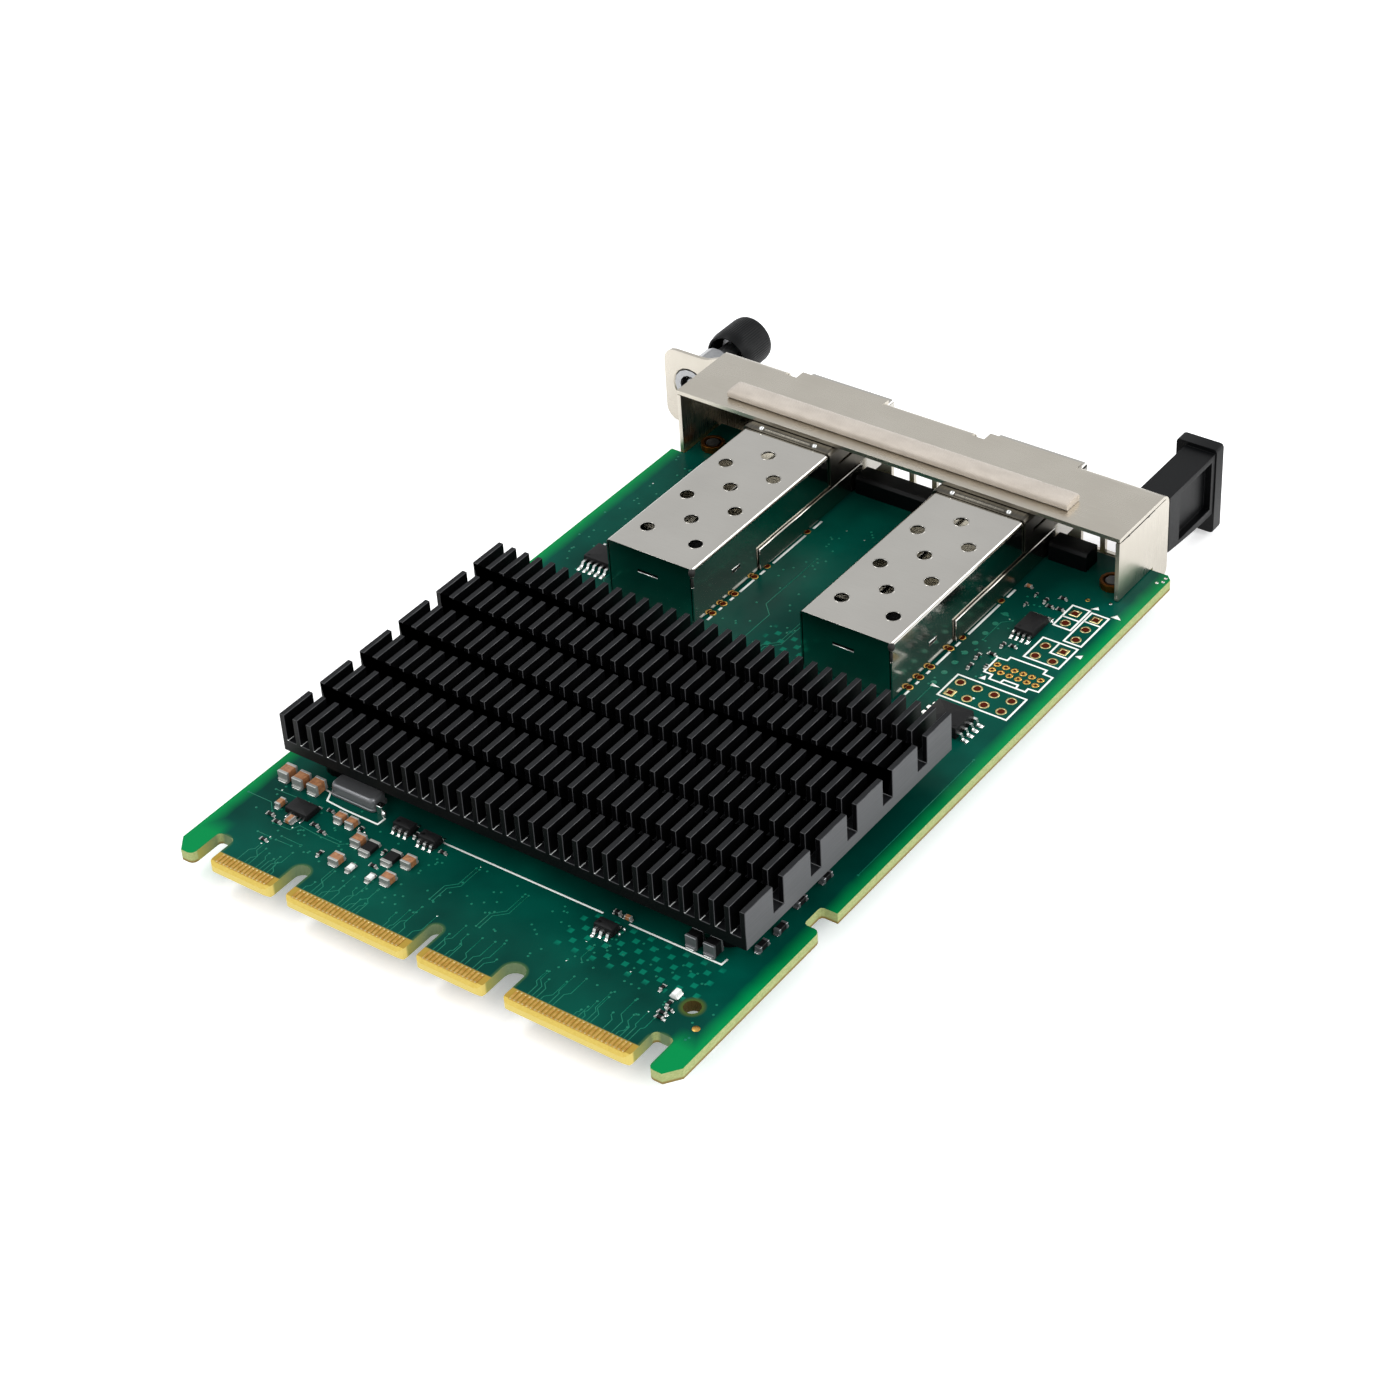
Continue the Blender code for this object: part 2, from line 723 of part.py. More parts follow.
def make_heat_sink():
    """The cross-cut fin heat sink with its pedestal and screw bosses."""
    half = SINK_LENGTH / 2
    sink = plate([fin_profile()], -half, half, "XZ")
    row = (SINK_LENGTH - ROW_GAP * (FIN_ROWS - 1)) / FIN_ROWS
    reach = SINK_WIDTH / 2 + REACH
    channels = []
    for index in range(1, FIN_ROWS):
        start = -half + index * row + (index - 1) * ROW_GAP
        channels.append(block((-reach, reach), (start, start + ROW_GAP),
                              (SINK_BASE - CHANNEL_SINK, SINK_TOP)))
    cut(sink, one_mesh(channels))
    overlap = SINK_BASE / 2
    pedestal_bottom = chip_top() + PAD_GAP + PAD_THICKNESS + PAD_GAP - SINK_BOTTOM
    side = PEDESTAL_SIZE / 2
    feet = [block((-side, side), (-side, side), (pedestal_bottom, overlap))]
    holes = []
    for x in (-BOSS_X, BOSS_X):
        for y in (-BOSS_Y, BOSS_Y):
            foot = FIT - SINK_BOTTOM
            feet.append(cylinder((x, y), BOSS_RADIUS, foot, overlap, 12))
            depth = foot + SINK_THREAD_LENGTH + FIT
            holes.append(cylinder((x, y), SINK_SHANK_RADIUS + FIT, foot - REACH, depth, 8))
    join(sink, one_mesh(feet))
    cut(sink, one_mesh(holes))
    piece("heat_sink", sink, LOOKS["sink"], 0.0, SINK_CENTRE_Y, TOP + SINK_BOTTOM)


def chip_top():
    """Height of the controller's lid over the board."""
    return CHIP_BALLS + CHIP_SUBSTRATE + CHIP_LID


def make_controller():
    """The controller package and the soft pad between it and the heat sink."""
    side = CHIP_SIZE / 2
    lid = CHIP_LID_SIZE / 2
    step = CHIP_BALLS + CHIP_SUBSTRATE
    chip = block((-side, side), (-side, side), (CHIP_BALLS, step))
    cap = soften(block((-lid, lid), (-lid, lid), (step - BITE, chip_top())), LID_EDGE, 1)
    join(chip, cap)
    piece("controller_chip", chip, LOOKS["chip"], 0.0, SINK_CENTRE_Y, TOP)
    pad = block((-lid, lid), (-lid, lid), (0.0, PAD_THICKNESS))
    piece("thermal_pad", pad, LOOKS["pad"], 0.0, SINK_CENTRE_Y, TOP + chip_top() + PAD_GAP)


def pan_screw(shank_radius, shank, head_radius, head, sides=10):
    """A screw that points up, with the underside of its head at height zero."""
    profile = [(0.0, shank), (shank_radius, shank), (shank_radius, 0.0), (head_radius, 0.0),
               (head_radius - head * HEAD_CROWN, -head), (0.0, -head)]
    return turned(profile, sides)


def make_sink_screws():
    """Four screws that pull the heat sink down from under the board."""
    shank = FIT + BOARD_THICKNESS + FIT + SINK_THREAD_LENGTH
    screw = pan_screw(SINK_SHANK_RADIUS, shank, SINK_HEAD_RADIUS, SINK_HEAD_HEIGHT)
    mesh = None
    for index, (x, y) in enumerate(sink_fastener_places()):
        name = f"heat_sink_screw_{index + 1}"
        if mesh is None:
            mesh = piece(name, screw, LOOKS["steel"], x, y, -FIT, 30).data
        else:
            copy_of(name, mesh, x, y, -FIT)


def bent_channel(half, low, high, sheet, bend, start, end):
    """A sheet folded into a channel that is open below, running along Y."""
    inner = max(bend - sheet, TIGHT_BEND)
    outer_corner = (half - bend, high - bend)
    points = [(half, low)] + arc(outer_corner, bend, 0, 90, 3)
    points += arc((-outer_corner[0], outer_corner[1]), bend, 90, 180, 3) + [(-half, low)]
    points += [(-half + sheet, low)]
    points += arc((-outer_corner[0], outer_corner[1]), inner, 180, 90, 3)
    points += arc(outer_corner, inner, 90, 0, 3) + [(half - sheet, low)]
    return plate([points], start, end, "XZ")


def make_cage_cover():
    """The cage's upper shell: top, sides and folded rear wall, with vents and slots."""
    half = CAGE_WIDTH / 2
    inner = half - CAGE_SHEET
    corner = half - CAGE_BEND
    outline = [(-half, CAGE_LIFT), (half, CAGE_LIFT)]
    outline += arc((corner, CAGE_TOP - CAGE_BEND), CAGE_BEND, 0, 90, 3)
    outline += arc((-corner, CAGE_TOP - CAGE_BEND), CAGE_BEND, 90, 180, 3)
    cover = plate([outline], 0.0, CAGE_LENGTH, "XZ")
    cavity = block((-inner, inner), (CAGE_SHEET, CAGE_LENGTH + REACH),
                   (-REACH, CAGE_TOP - CAGE_SHEET))
    seams = [block((side * inner - (REAR_SEAM if side > 0 else HAIR),
                    side * inner + (HAIR if side > 0 else REAR_SEAM)),
                   (-REACH, 2 * CAGE_SHEET), (-REACH, CAGE_TOP - CAGE_BEND)) for side in (-1, 1)]
    cut(cover, cavity, one_mesh(seams))
    vents = []
    for row in range(VENT_ROWS):
        places = (-VENT_OFFSET, VENT_OFFSET) if row % 2 == 0 else (0.0,)
        for x in places:
            at = (x, VENT_FIRST + row * VENT_PITCH)
            vents.append(cylinder(at, VENT_RADIUS, CAGE_TOP - REACH, CAGE_TOP + REACH,
                                  VENT_SIDES))
    cut(cover, one_mesh(vents))
    reach = half + REACH
    undercut = block((-reach, reach), (BASE_START - FIT, BASE_END + FIT), (-REACH, COVER_UNDERCUT))
    side_slot = block((-reach, reach), (SIDE_SLOT_START, SIDE_SLOT_START + SIDE_SLOT_LENGTH),
                      (SIDE_SLOT_Z, SIDE_SLOT_Z + SIDE_SLOT_HEIGHT))
    slot_half = REAR_SLOT_WIDTH / 2
    rear_slot = block((REAR_SLOT_CENTRE - slot_half, REAR_SLOT_CENTRE + slot_half), (-REACH, REACH),
                      (REAR_SLOT_Z, REAR_SLOT_Z + REAR_SLOT_HEIGHT))
    cut(cover, undercut, side_slot, rear_slot)
    return cover


def make_cage_base():
    """The cage's tray: a floor on the board, outer walls along the middle and a latch hole."""
    inner = CAGE_WIDTH / 2 + SHEET_GAP
    outer = inner + CAGE_SHEET
    floor_top = CAGE_LIFT + CAGE_SHEET
    low = CAGE_LIFT
    section = [(-outer, low), (outer, low), (outer, BASE_WALL_TOP), (inner, BASE_WALL_TOP),
               (inner, floor_top), (-inner, floor_top), (-inner, BASE_WALL_TOP),
               (-outer, BASE_WALL_TOP)]
    base = plate([section], BASE_START, BASE_END, "XZ")
    tongue = CAGE_WIDTH / 2 - CAGE_SHEET - REAR_SEAM
    join(base, block((-tongue, tongue), (BASE_END - REACH, CAGE_LENGTH), (low, floor_top)))
    latch = (0.0, CAGE_LENGTH - LATCH_FROM_FRONT)
    cut(base, cylinder(latch, LATCH_RADIUS, low - REACH, floor_top + REACH, 3))
    return base


def make_collar():
    """The springy collar that closes the gap between a cage and the faceplate."""
    inner = CAGE_WIDTH / 2 + COLLAR_GAP
    half = inner + COLLAR_SHEET
    top = CAGE_TOP + COLLAR_GAP + COLLAR_SHEET
    end = FACE_INNER - FIT - CAGE_REAR
    collar = bent_channel(half, COLLAR_SIDE_BOTTOM, top, COLLAR_SHEET, CAGE_BEND + COLLAR_SHEET,
                          COLLAR_START, end)
    slots = []
    finger = 2 * (half - CAGE_BEND) / COLLAR_FINGERS
    for index in range(1, COLLAR_FINGERS):
        x = -(half - CAGE_BEND) + index * finger
        slots.append(block((x - COLLAR_SLOT / 2, x + COLLAR_SLOT / 2),
                           (COLLAR_START + COLLAR_BAR, end + REACH), (top - REACH, top + REACH)))
    middle = (COLLAR_SIDE_BOTTOM + top) / 2
    slots.append(block((-half - REACH, half + REACH), (COLLAR_START + COLLAR_BAR, end + REACH),
                       (middle - COLLAR_SLOT / 2, middle + COLLAR_SLOT / 2)))
    cut(collar, one_mesh(slots))
    return collar


def make_receptacle():
    """The surface-mounted socket that a module's card edge plugs into."""
    half = RECEPTACLE_WIDTH / 2
    end = RECEPTACLE_START + RECEPTACLE_LENGTH
    body = soften(block((-half, half), (RECEPTACLE_START, end), (SOLDER, RECEPTACLE_HEIGHT)),
                  RECEPTACLE_EDGE, 1)
    slot = RECEPTACLE_SLOT_WIDTH / 2
    cut(body, block((-slot, slot), (end - RECEPTACLE_SLOT_DEPTH, end + REACH),
                    (RECEPTACLE_SLOT_Z, RECEPTACLE_SLOT_Z + RECEPTACLE_SLOT_HEIGHT)))
    return body


def make_cages():
    """Both ports: cover, base, collar and receptacle each, sharing their meshes."""
    makers = (
        ("cage_cover", make_cage_cover, "tin", 30),
        ("cage_base", make_cage_base, "tin", None),
        ("emi_collar", make_collar, "nickel", 30),
        ("port_receptacle", make_receptacle, "plastic", None),
    )
    for stem, maker, look, smooth in makers:
        first = piece(f"{stem}_1", maker(), LOOKS[look], CAGE_CENTRES[0], CAGE_REAR, TOP, smooth)
        copy_of(f"{stem}_2", first.data, CAGE_CENTRES[1], CAGE_REAR, TOP)


def corner_tool(corner, radius, directions, x):
    """A cutter that rounds one straight corner of the bracket along X."""
    y_way, z_way = directions
    centre = (corner[0] - y_way * radius, corner[1] - z_way * radius)
    start = math.degrees(math.atan2(0.0, y_way))
    end = 90.0 * z_way if y_way > 0 else 180.0 - 90.0 * z_way
    points = arc(centre, radius, start, end, 5)
    points += [(centre[0], corner[1] + z_way * REACH)]
    points += [(corner[0] + y_way * REACH, corner[1] + z_way * REACH)]
    points += [(corner[0] + y_way * REACH, centre[1])]
    return plate([points], x[0], x[1], "YZ")


def bracket_outline():
    """The faceplate's outer shape with the ear, its round corners and its neck to the hood."""
    radius = EAR_RADIUS
    shoulder = HOOD_LEFT - EAR_SHOULDER
    points = [(HOOD_RIGHT, FACE_BOTTOM), (HOOD_RIGHT, HOOD_TOP), (shoulder, HOOD_TOP)]
    points += [(shoulder, HOOD_TOP - HOOD_BEND)]
    rise = HOOD_TOP - HOOD_BEND - EAR_TOP
    run = shoulder - (HOOD_LEFT - EAR_NECK)
    steps = 6
    for step in range(1, steps + 1):
        share = step / steps
        lift = (1.0 + math.cos(share * math.pi)) / 2
        points.append((shoulder - run * share, EAR_TOP + rise * lift))
    points += arc((EAR_LEFT + radius, EAR_TOP - radius), radius, 90, 180, 4)
    points += arc((EAR_LEFT + radius, EAR_BOTTOM + radius), radius, 180, 270, 4)
    points += [(HOOD_LEFT - EAR_LOWER, EAR_BOTTOM), (shoulder, FACE_BOTTOM)]
    return points


def window(centre):
    """One ventilation window through the faceplate."""
    half = WINDOW_WIDTH / 2
    return block((centre - half, centre + half), (FACE_INNER - REACH, FACE_OUTER + REACH),
                 (FACE_BOTTOM + SHEET + WINDOW_LIFT, WINDOW_TOP))


def bracket_shell_tools():
    """Cutters that leave hood, faceplate, side walls and feet of the bent sheet."""
    left = HOOD_LEFT + SHEET
    right = HOOD_RIGHT - SHEET
    front = HOOD_FRONT - REACH
    foot_top = FACE_BOTTOM + SHEET
    under = FACE_BOTTOM - REACH
    ceiling = HOOD_TOP - SHEET
    flange_front = FACE_OUTER - LOWER_FLANGE_DEPTH
    cavity = block((left, right), (front, FACE_INNER), (foot_top, ceiling))
    beside_ear = block((EAR_LEFT - REACH, HOOD_LEFT), (front, FACE_INNER),
                       (EAR_BOTTOM - REACH, HOOD_TOP + REACH))
    between_feet = block((left + FOOT_WIDTH, right - FOOT_WIDTH), (front, flange_front),
                         (under, foot_top + REACH))
    over_board = block((right - HAIR, HOOD_RIGHT + REACH), (front, flange_front),
                       (under, FLANGE_LIFT))
    seam_z = (ceiling - FLANGE_SEAM, ceiling + HAIR)
    seam_end = FACE_INNER - FLANGE_SEAM_END
    right_seam = block((right - HAIR, HOOD_RIGHT + REACH), (front, seam_end), seam_z)
    left_seam = block((HOOD_LEFT - REACH, left + HAIR), (front, seam_end), seam_z)
    return cavity, beside_ear, between_feet, over_board, right_seam, left_seam


def bracket_bend_tools():
    """Cutters for the rounded bend, the port openings under flat lips and the relief notches."""
    tools = []
    start = HOOD_LEFT - REACH
    depth = (FACE_INNER - REACH, FACE_OUTER + REACH)
    for centre in CAGE_CENTRES:
        left = centre - LIP_WIDTH / 2
        right = centre + LIP_WIDTH / 2
        tools.append(corner_tool((FACE_OUTER, HOOD_TOP), HOOD_BEND, (1, 1), (start, left)))
        tools.append(block((left - RELIEF_WIDTH, left), (FACE_OUTER - RELIEF_DEPTH, depth[1]),
                           (HOOD_TOP - HOOD_BEND, HOOD_TOP + REACH)))
        opening = OPENING_WIDTH / 2
        shoulder = HOOD_TOP - HOOD_BEND - SHEET
        tools.append(block((centre - opening, centre + opening), depth, (OPENING_BOTTOM, shoulder)))
        tools.append(block((left + BITE, right - BITE), depth,
                           (shoulder - REACH, HOOD_TOP - SHEET - LIP_THINNING)))
        start = right
    beyond = HOOD_RIGHT + REACH
    tools.append(corner_tool((FACE_OUTER, HOOD_TOP), HOOD_BEND, (1, 1), (start, beyond)))
    tools.append(corner_tool((FACE_OUTER, FACE_BOTTOM), FLANGE_CORNER, (1, -1),
                             (HOOD_RIGHT - SHEET - REACH, beyond)))
    return tools


def ear_hole():
    """The ferrule's hole, countersunk from behind so that the flared end lies flush."""
    slope = (EAR_SINK_RADIUS - EAR_HOLE_RADIUS) / EAR_SINK_DEPTH
    behind = -SHEET - FIT
    cutter = turned([(0.0, REACH), (EAR_HOLE_RADIUS, REACH),
                     (EAR_HOLE_RADIUS, EAR_SINK_DEPTH - SHEET),
                     (EAR_SINK_RADIUS + slope * FIT, behind), (0.0, behind)], EAR_HOLE_SIDES)
    return moved(along_y(cutter), SCREW_X, FACE_OUTER, SCREW_Z)


def make_bracket():
    """The folded bracket: hood, faceplate, side walls, feet, ear and every opening in them."""
    bracket = plate([bracket_outline()], HOOD_FRONT, FACE_OUTER, "XZ")
    cut(bracket, *bracket_shell_tools())
    cut(bracket, *bracket_bend_tools())
    tab_hole = along_y(cylinder((0.0, 0.0), TAB_SHANK_RADIUS + FIT, -SHEET - REACH, REACH, 12))
    moved(tab_hole, TAB_SCREW_X, FACE_OUTER, TAB_SCREW_Z)
    foot_holes = [cylinder(at, BRACKET_SHANK_RADIUS + FIT, FACE_BOTTOM - REACH,
                           FACE_BOTTOM + SHEET + REACH, 12) for at in bracket_fastener_places()]
    windows = []
    for index in range(MIDDLE_WINDOWS):
        windows.append(window(CAGE_CENTRES[0] + MIDDLE_WINDOW_START + index * WINDOW_PITCH))
    for index in range(SIDE_WINDOWS):
        windows.append(window(CAGE_CENTRES[1] + SIDE_WINDOW_START + index * WINDOW_PITCH))
    cut(bracket, one_mesh(windows), one_mesh(foot_holes), ear_hole(), tab_hole)
    piece("bracket", bracket, LOOKS["nickel"], 0.0, 0.0, TOP, 30)


def make_gasket():
    """The foam gasket in conductive cloth on top of the hood."""
    radius = GASKET_RADIUS
    back = GASKET_DEPTH
    points = [(0.0, 0.0), (back, 0.0)]
    points += arc((back - radius, GASKET_HEIGHT - radius), radius, 0, 90, 3)
    points += arc((radius, GASKET_HEIGHT - radius), radius, 90, 180, 3)
    left = HOOD_LEFT + GASKET_LEFT_INSET
    right = HOOD_RIGHT - GASKET_RIGHT_INSET
    gasket = plate([points], left, right, "YZ")
    piece("emi_gasket", gasket, LOOKS["cloth"], 0.0, HOOD_FRONT + GASKET_FRONT_INSET,
          TOP + HOOD_TOP + GASKET_GAP, 30)


def make_bracket_fasteners():
    """Screws, spacers and board nuts that hold the bracket to the board."""
    foot_top = FACE_BOTTOM + SHEET
    spacer_height = -BOARD_THICKNESS - foot_top - 2 * SOLDER
    bore = BRACKET_SHANK_RADIUS + FIT
    spacer = turned([(NUT_RADIUS, spacer_height), (NUT_RADIUS, 0.0), (bore, 0.0),
                     (bore, spacer_height)], 12)
    nut = turned([(NUT_RADIUS, NUT_HEIGHT), (NUT_RADIUS, 0.0), (bore, 0.0),
                  (bore, NUT_HEIGHT)], 12)
    shank = NUT_HEIGHT - FACE_BOTTOM + FIT
    screw = pan_screw(BRACKET_SHANK_RADIUS, shank, BRACKET_HEAD_RADIUS, BRACKET_HEAD_HEIGHT)
    kinds = (
        ("bracket_nut", nut, "brass", TOP + SOLDER),
        ("bracket_spacer", spacer, "steel", TOP + foot_top + SOLDER),
        ("bracket_screw", screw, "steel", TOP + FACE_BOTTOM - FIT),
    )
    left, right = bracket_fastener_places()
    for stem, helper, look, z in kinds:
        first = piece(f"{stem}_left", helper, LOOKS[look], left[0], left[1], z, 30)
        copy_of(f"{stem}_right", first.data, right[0], right[1], z)


def make_thumbscrew():
    """The captive screw: a ferrule flared into the ear, the screw in it and its knob."""
    flush = HAIR - SHEET
    rim = flush + HAIR
    step = FIT + FERRULE_FLANGE
    ferrule = turned([
        (FERRULE_BARREL_RADIUS, FERRULE_LENGTH), (FERRULE_BARREL_RADIUS, step),
        (FERRULE_FLANGE_RADIUS, step), (FERRULE_FLANGE_RADIUS, FIT), (FERRULE_NECK_RADIUS, FIT),
        (FERRULE_NECK_RADIUS, rim + FERRULE_FLARE), (FERRULE_FLARE_RADIUS, rim),
        (FERRULE_FLARE_RADIUS, flush), (FERRULE_NECK_BORE, flush), (FERRULE_NECK_BORE, FIT),
        (FERRULE_BORE_RADIUS, step), (FERRULE_BORE_RADIUS, FERRULE_LENGTH)], 14)
    piece("thumbscrew_ferrule", along_y(ferrule), LOOKS["steel"], SCREW_X, FACE_OUTER,
          TOP + SCREW_Z, 30)

    knob_floor = KNOB_NEAR + KNOB_BORE_DEPTH
    knob_end = KNOB_NEAR + KNOB_LENGTH
    shoulder_start = step + SCREW_TRAVEL + FIT
    head_end = knob_floor - FIT
    head_start = head_end - SCREW_HEAD
    screw = turned([
        (0.0, head_end), (SCREW_HEAD_RADIUS, head_end), (SCREW_HEAD_RADIUS, head_start),
        (SHOULDER_RADIUS, head_start), (SHOULDER_RADIUS, shoulder_start),
        (THREAD_RADIUS, shoulder_start), (THREAD_RADIUS, SCREW_POINT),
        (THREAD_RADIUS - SCREW_POINT, 0.0), (0.0, 0.0)], 12)
    piece("thumbscrew_screw", along_y(screw), LOOKS["steel"], SCREW_X, FACE_OUTER,
          TOP + SCREW_Z, 30)

    knob = turned([
        (0.0, knob_end), (KNOB_RADIUS - KNOB_EDGE, knob_end), (KNOB_RADIUS, knob_end - KNOB_EDGE),
        (KNOB_RADIUS, KNOB_NEAR + KNOB_TAPER), (KNOB_NEAR_RADIUS, KNOB_NEAR),
        (KNOB_BORE_RADIUS, KNOB_NEAR), (KNOB_BORE_RADIUS, knob_floor), (0.0, knob_floor)], 20)
    half = DRIVER_SLOT_WIDTH / 2
    cut(knob, block((-half, half), (-KNOB_RADIUS - REACH, KNOB_RADIUS + REACH),
                    (knob_end - DRIVER_SLOT_DEPTH, knob_end + REACH)))
    piece("thumbscrew_knob", along_y(knob), LOOKS["black"], SCREW_X, FACE_OUTER,
          TOP + SCREW_Z, 30)


def tab_side_outline():
    """The pull tab's stem, seen from its side."""
    start = FACE_OUTER + FIT
    end = TAB_END + TAB_PLATE_THICKNESS / 2
    points = [(start, TAB_TOP), (start, TAB_BOTTOM)]
    steps = 5
    run = TAB_END - start
    for step in range(1, steps):
        share = step / steps
        points.append((start + run * share, TAB_BELLY * math.sin(share * math.pi / 2)))
    points += [(end, TAB_BELLY), (end, TAB_TOP)]
    return points


def make_pull_tab():
    """The moulded T handle on the faceplate and the screw that holds it."""
    left = TAB_CENTRE - TAB_WIDTH / 2
    right = TAB_CENTRE + TAB_WIDTH / 2
    tab = plate([tab_side_outline()], left, right, "YZ")
    start = FACE_OUTER + FIT + TAB_BLOCK
    end = TAB_END - TAB_POCKET_END
    pocket_z = (TAB_POCKET_BOTTOM, TAB_POCKET_TOP)
    right_pocket = block((right - TAB_POCKET_DEPTH, right + REACH), (start, end), pocket_z)
    left_pocket = block((left - REACH, left + TAB_POCKET_DEPTH), (start, end), pocket_z)
    middle = TAB_CENTRE + TAB_PLATE_SHIFT
    half = TAB_PLATE_WIDTH / 2
    plate_outline = rounded_rectangle((middle - half, middle + half),
                                      (TAB_PLATE_BOTTOM, TAB_PLATE_TOP), TAB_PLATE_RADIUS, 2)
    end_plate = plate([plate_outline], TAB_END, TAB_END + TAB_PLATE_THICKNESS, "XZ")
    cut(tab, right_pocket, left_pocket)
    join(tab, end_plate)
    hole = along_y(cylinder((0.0, 0.0), TAB_SHANK_RADIUS + FIT, FIT - REACH,
                            FIT + TAB_SCREW_DEPTH + FIT, 12))
    cut(tab, moved(hole, TAB_SCREW_X, FACE_OUTER, TAB_SCREW_Z))
    piece("pull_tab", tab, LOOKS["black"], 0.0, 0.0, TOP, 30)
    shank = FIT + SHEET + FIT + TAB_SCREW_DEPTH
    screw = pan_screw(TAB_SHANK_RADIUS, shank, TAB_HEAD_RADIUS, TAB_HEAD_HEIGHT)
    piece("pull_tab_screw", along_y(screw), LOOKS["steel"], TAB_SCREW_X, FACE_INNER - FIT,
          TOP + TAB_SCREW_Z, 30)


def make_housings():
    """The two black indicator housings on the board behind the faceplate."""
    beside = CAGE_SIDE + HOUSING_CAGE_GAP
    middle = (CAGE_CENTRES[0] + beside, CAGE_CENTRES[1] - CAGE_SIDE - MIDDLE_HOUSING_END_GAP)
    side = (CAGE_CENTRES[1] + beside, CAGE_CENTRES[1] + beside + SIDE_HOUSING_LENGTH)
    for name, (left, right) in (("led_housing_middle", middle), ("led_housing_side", side)):
        half = (right - left) / 2
        chamfer = HOUSING_CHAMFER
        points = [(0.0, 0.0), (HOUSING_DEPTH, 0.0), (HOUSING_DEPTH, HOUSING_HEIGHT),
                  (chamfer, HOUSING_HEIGHT), (0.0, HOUSING_HEIGHT - chamfer)]
        housing = plate([points], -half, half, "YZ")
        piece(name, housing, LOOKS["plastic"], (left + right) / 2,
              HOOD_FRONT + HOUSING_FRONT_INSET, TOP + SOLDER)


def gull_package(sizes):
    """A small moulded package with bent leads on two sides, its length along X."""
    length, width, height, leads, pitch, lead_width, span = sizes
    body = soften(block((-length / 2, length / 2), (-width / 2, width / 2), (PACKAGE_LIFT, height)),
                  height * PACKAGE_DRAFT, 1)
    knee = width / 2 + (span - width) / 4
    middle = height / 2
    root = width / 2 - LEAD_ROOT
    section = [(root, middle + LEAD_THICKNESS), (knee + LEAD_THICKNESS, middle + LEAD_THICKNESS),
               (span / 2, LEAD_THICKNESS), (span / 2, 0.0), (knee, 0.0), (root, middle)]
    rows = []
    for side in (-1, 1):
        outline = [(y * side, z) for y, z in section]
        for index in range(leads):
            x = (index - (leads - 1) / 2) * pitch
            rows.append(plate([outline], x - lead_width / 2, x + lead_width / 2, "YZ"))
    return join(body, one_mesh(rows))


def ceramic_capacitor(sizes):
    """A ceramic block between two metal ends, its length along Y."""
    length, width, height, cap = sizes
    half = width / 2
    reach = length / 2
    neck = CAPACITOR_NECK
    body = block((neck - half, half - neck), (2 * neck - reach, reach - 2 * neck),
                 (neck, height - neck))
    ends = [block((-half, half), (-reach, cap - reach), (0.0, height)),
            block((-half, half), (reach - cap, reach), (0.0, height))]
    return join(body, one_mesh(ends))


def soft_block(sizes):
    """A plain package: width, depth and height with its edges rounded."""
    width, depth, height, edge = sizes
    return soften(block((-width / 2, width / 2), (-depth / 2, depth / 2), (0.0, height)), edge, 1)


def quarter_turn(item):
    """Turns a helper's mesh so that its length runs along Y."""
    item.data.transform(Matrix.Rotation(math.radians(90), 4, "Z"))
    return item


def place_all(entries, helper, look, start_x=0.0):
    """Places one mesh at every entry of a list, with X counted from a starting line."""
    mesh = None
    for name, x, y in entries:
        if mesh is None:
            mesh = piece(name, helper, look, start_x + x, y, TOP + SOLDER).data
        else:
            copy_of(name, mesh, start_x + x, y, TOP + SOLDER)


def make_components():
    """The larger surface-mounted parts on the board's top face."""
    place_all(FLASH_CHIPS, gull_package(FLASH_PACKAGE), LOOKS["plastic"])
    place_all(MONITOR_CHIPS, quarter_turn(gull_package(MONITOR_PACKAGE)), LOOKS["plastic"])
    place_all(BUFFER_CHIPS, gull_package(BUFFER_PACKAGE), LOOKS["plastic"])
    place_all(TRANSISTORS, gull_package(TRANSISTOR), LOOKS["plastic"])
    place_all(TALL_CAPACITORS, ceramic_capacitor(TALL_CAPACITOR), LOOKS["ceramic"])
    place_all(DRIVER_CHIPS, soft_block(DRIVER_CHIP), LOOKS["plastic"])
    place_all(CRYSTAL_CANS, soft_block(CRYSTAL_CAN), LOOKS["steel"])
    place_all(LAMPS, soft_block(LAMP), LOOKS["white"])
    place_all(LOW_CAPACITORS, ceramic_capacitor(LOW_CAPACITOR), LOOKS["ceramic"], -BOARD_SIDE)
    place_all(EDGE_CAPACITORS, ceramic_capacitor(EDGE_CAPACITOR), LOOKS["ceramic"], BOARD_SIDE)


remove_everything()
PARTS = new_collection("mezzanine_network_card")
CUTTERS = new_collection("cutters")
CARD = bpy.data.objects.new("card_frame", None)
PARTS.objects.link(CARD)
CARD.location = (0.0, -BOARD_LENGTH / 2 * MM, 0.0)

LOOKS = {
    "board": material("solder_mask_green", "#00523F", 0.35),
    "gold": material("contact_gold", "#D9A441", 0.3, 1.0),
    "sink": material("black_anodised_aluminium", "#0B0B0C", 0.5, 0.6),
    "chip": material("chip_lid", "#8E9192", 0.35, 0.9),
    "pad": material("thermal_pad_grey", "#9AA0A6", 0.8),
    "steel": material("plated_steel", "#B9BBBD", 0.3, 1.0),
    "tin": material("tinned_sheet", "#C9C5BC", 0.22, 1.0),
    "nickel": material("nickel_sheet", "#C4BEB4", 0.3, 1.0),
    "brass": material("brass_nut", "#C08A3A", 0.35, 1.0),
    "cloth": material("conductive_cloth", "#C9BDB0", 0.6, 0.4),
    "black": material("black_moulding", "#141517", 0.45),
    "plastic": material("package_black", "#1C1C1D", 0.5),
    "ceramic": material("ceramic_tan", "#B07A4E", 0.4),
    "white": material("led_white", "#E9ECEA", 0.35),
}

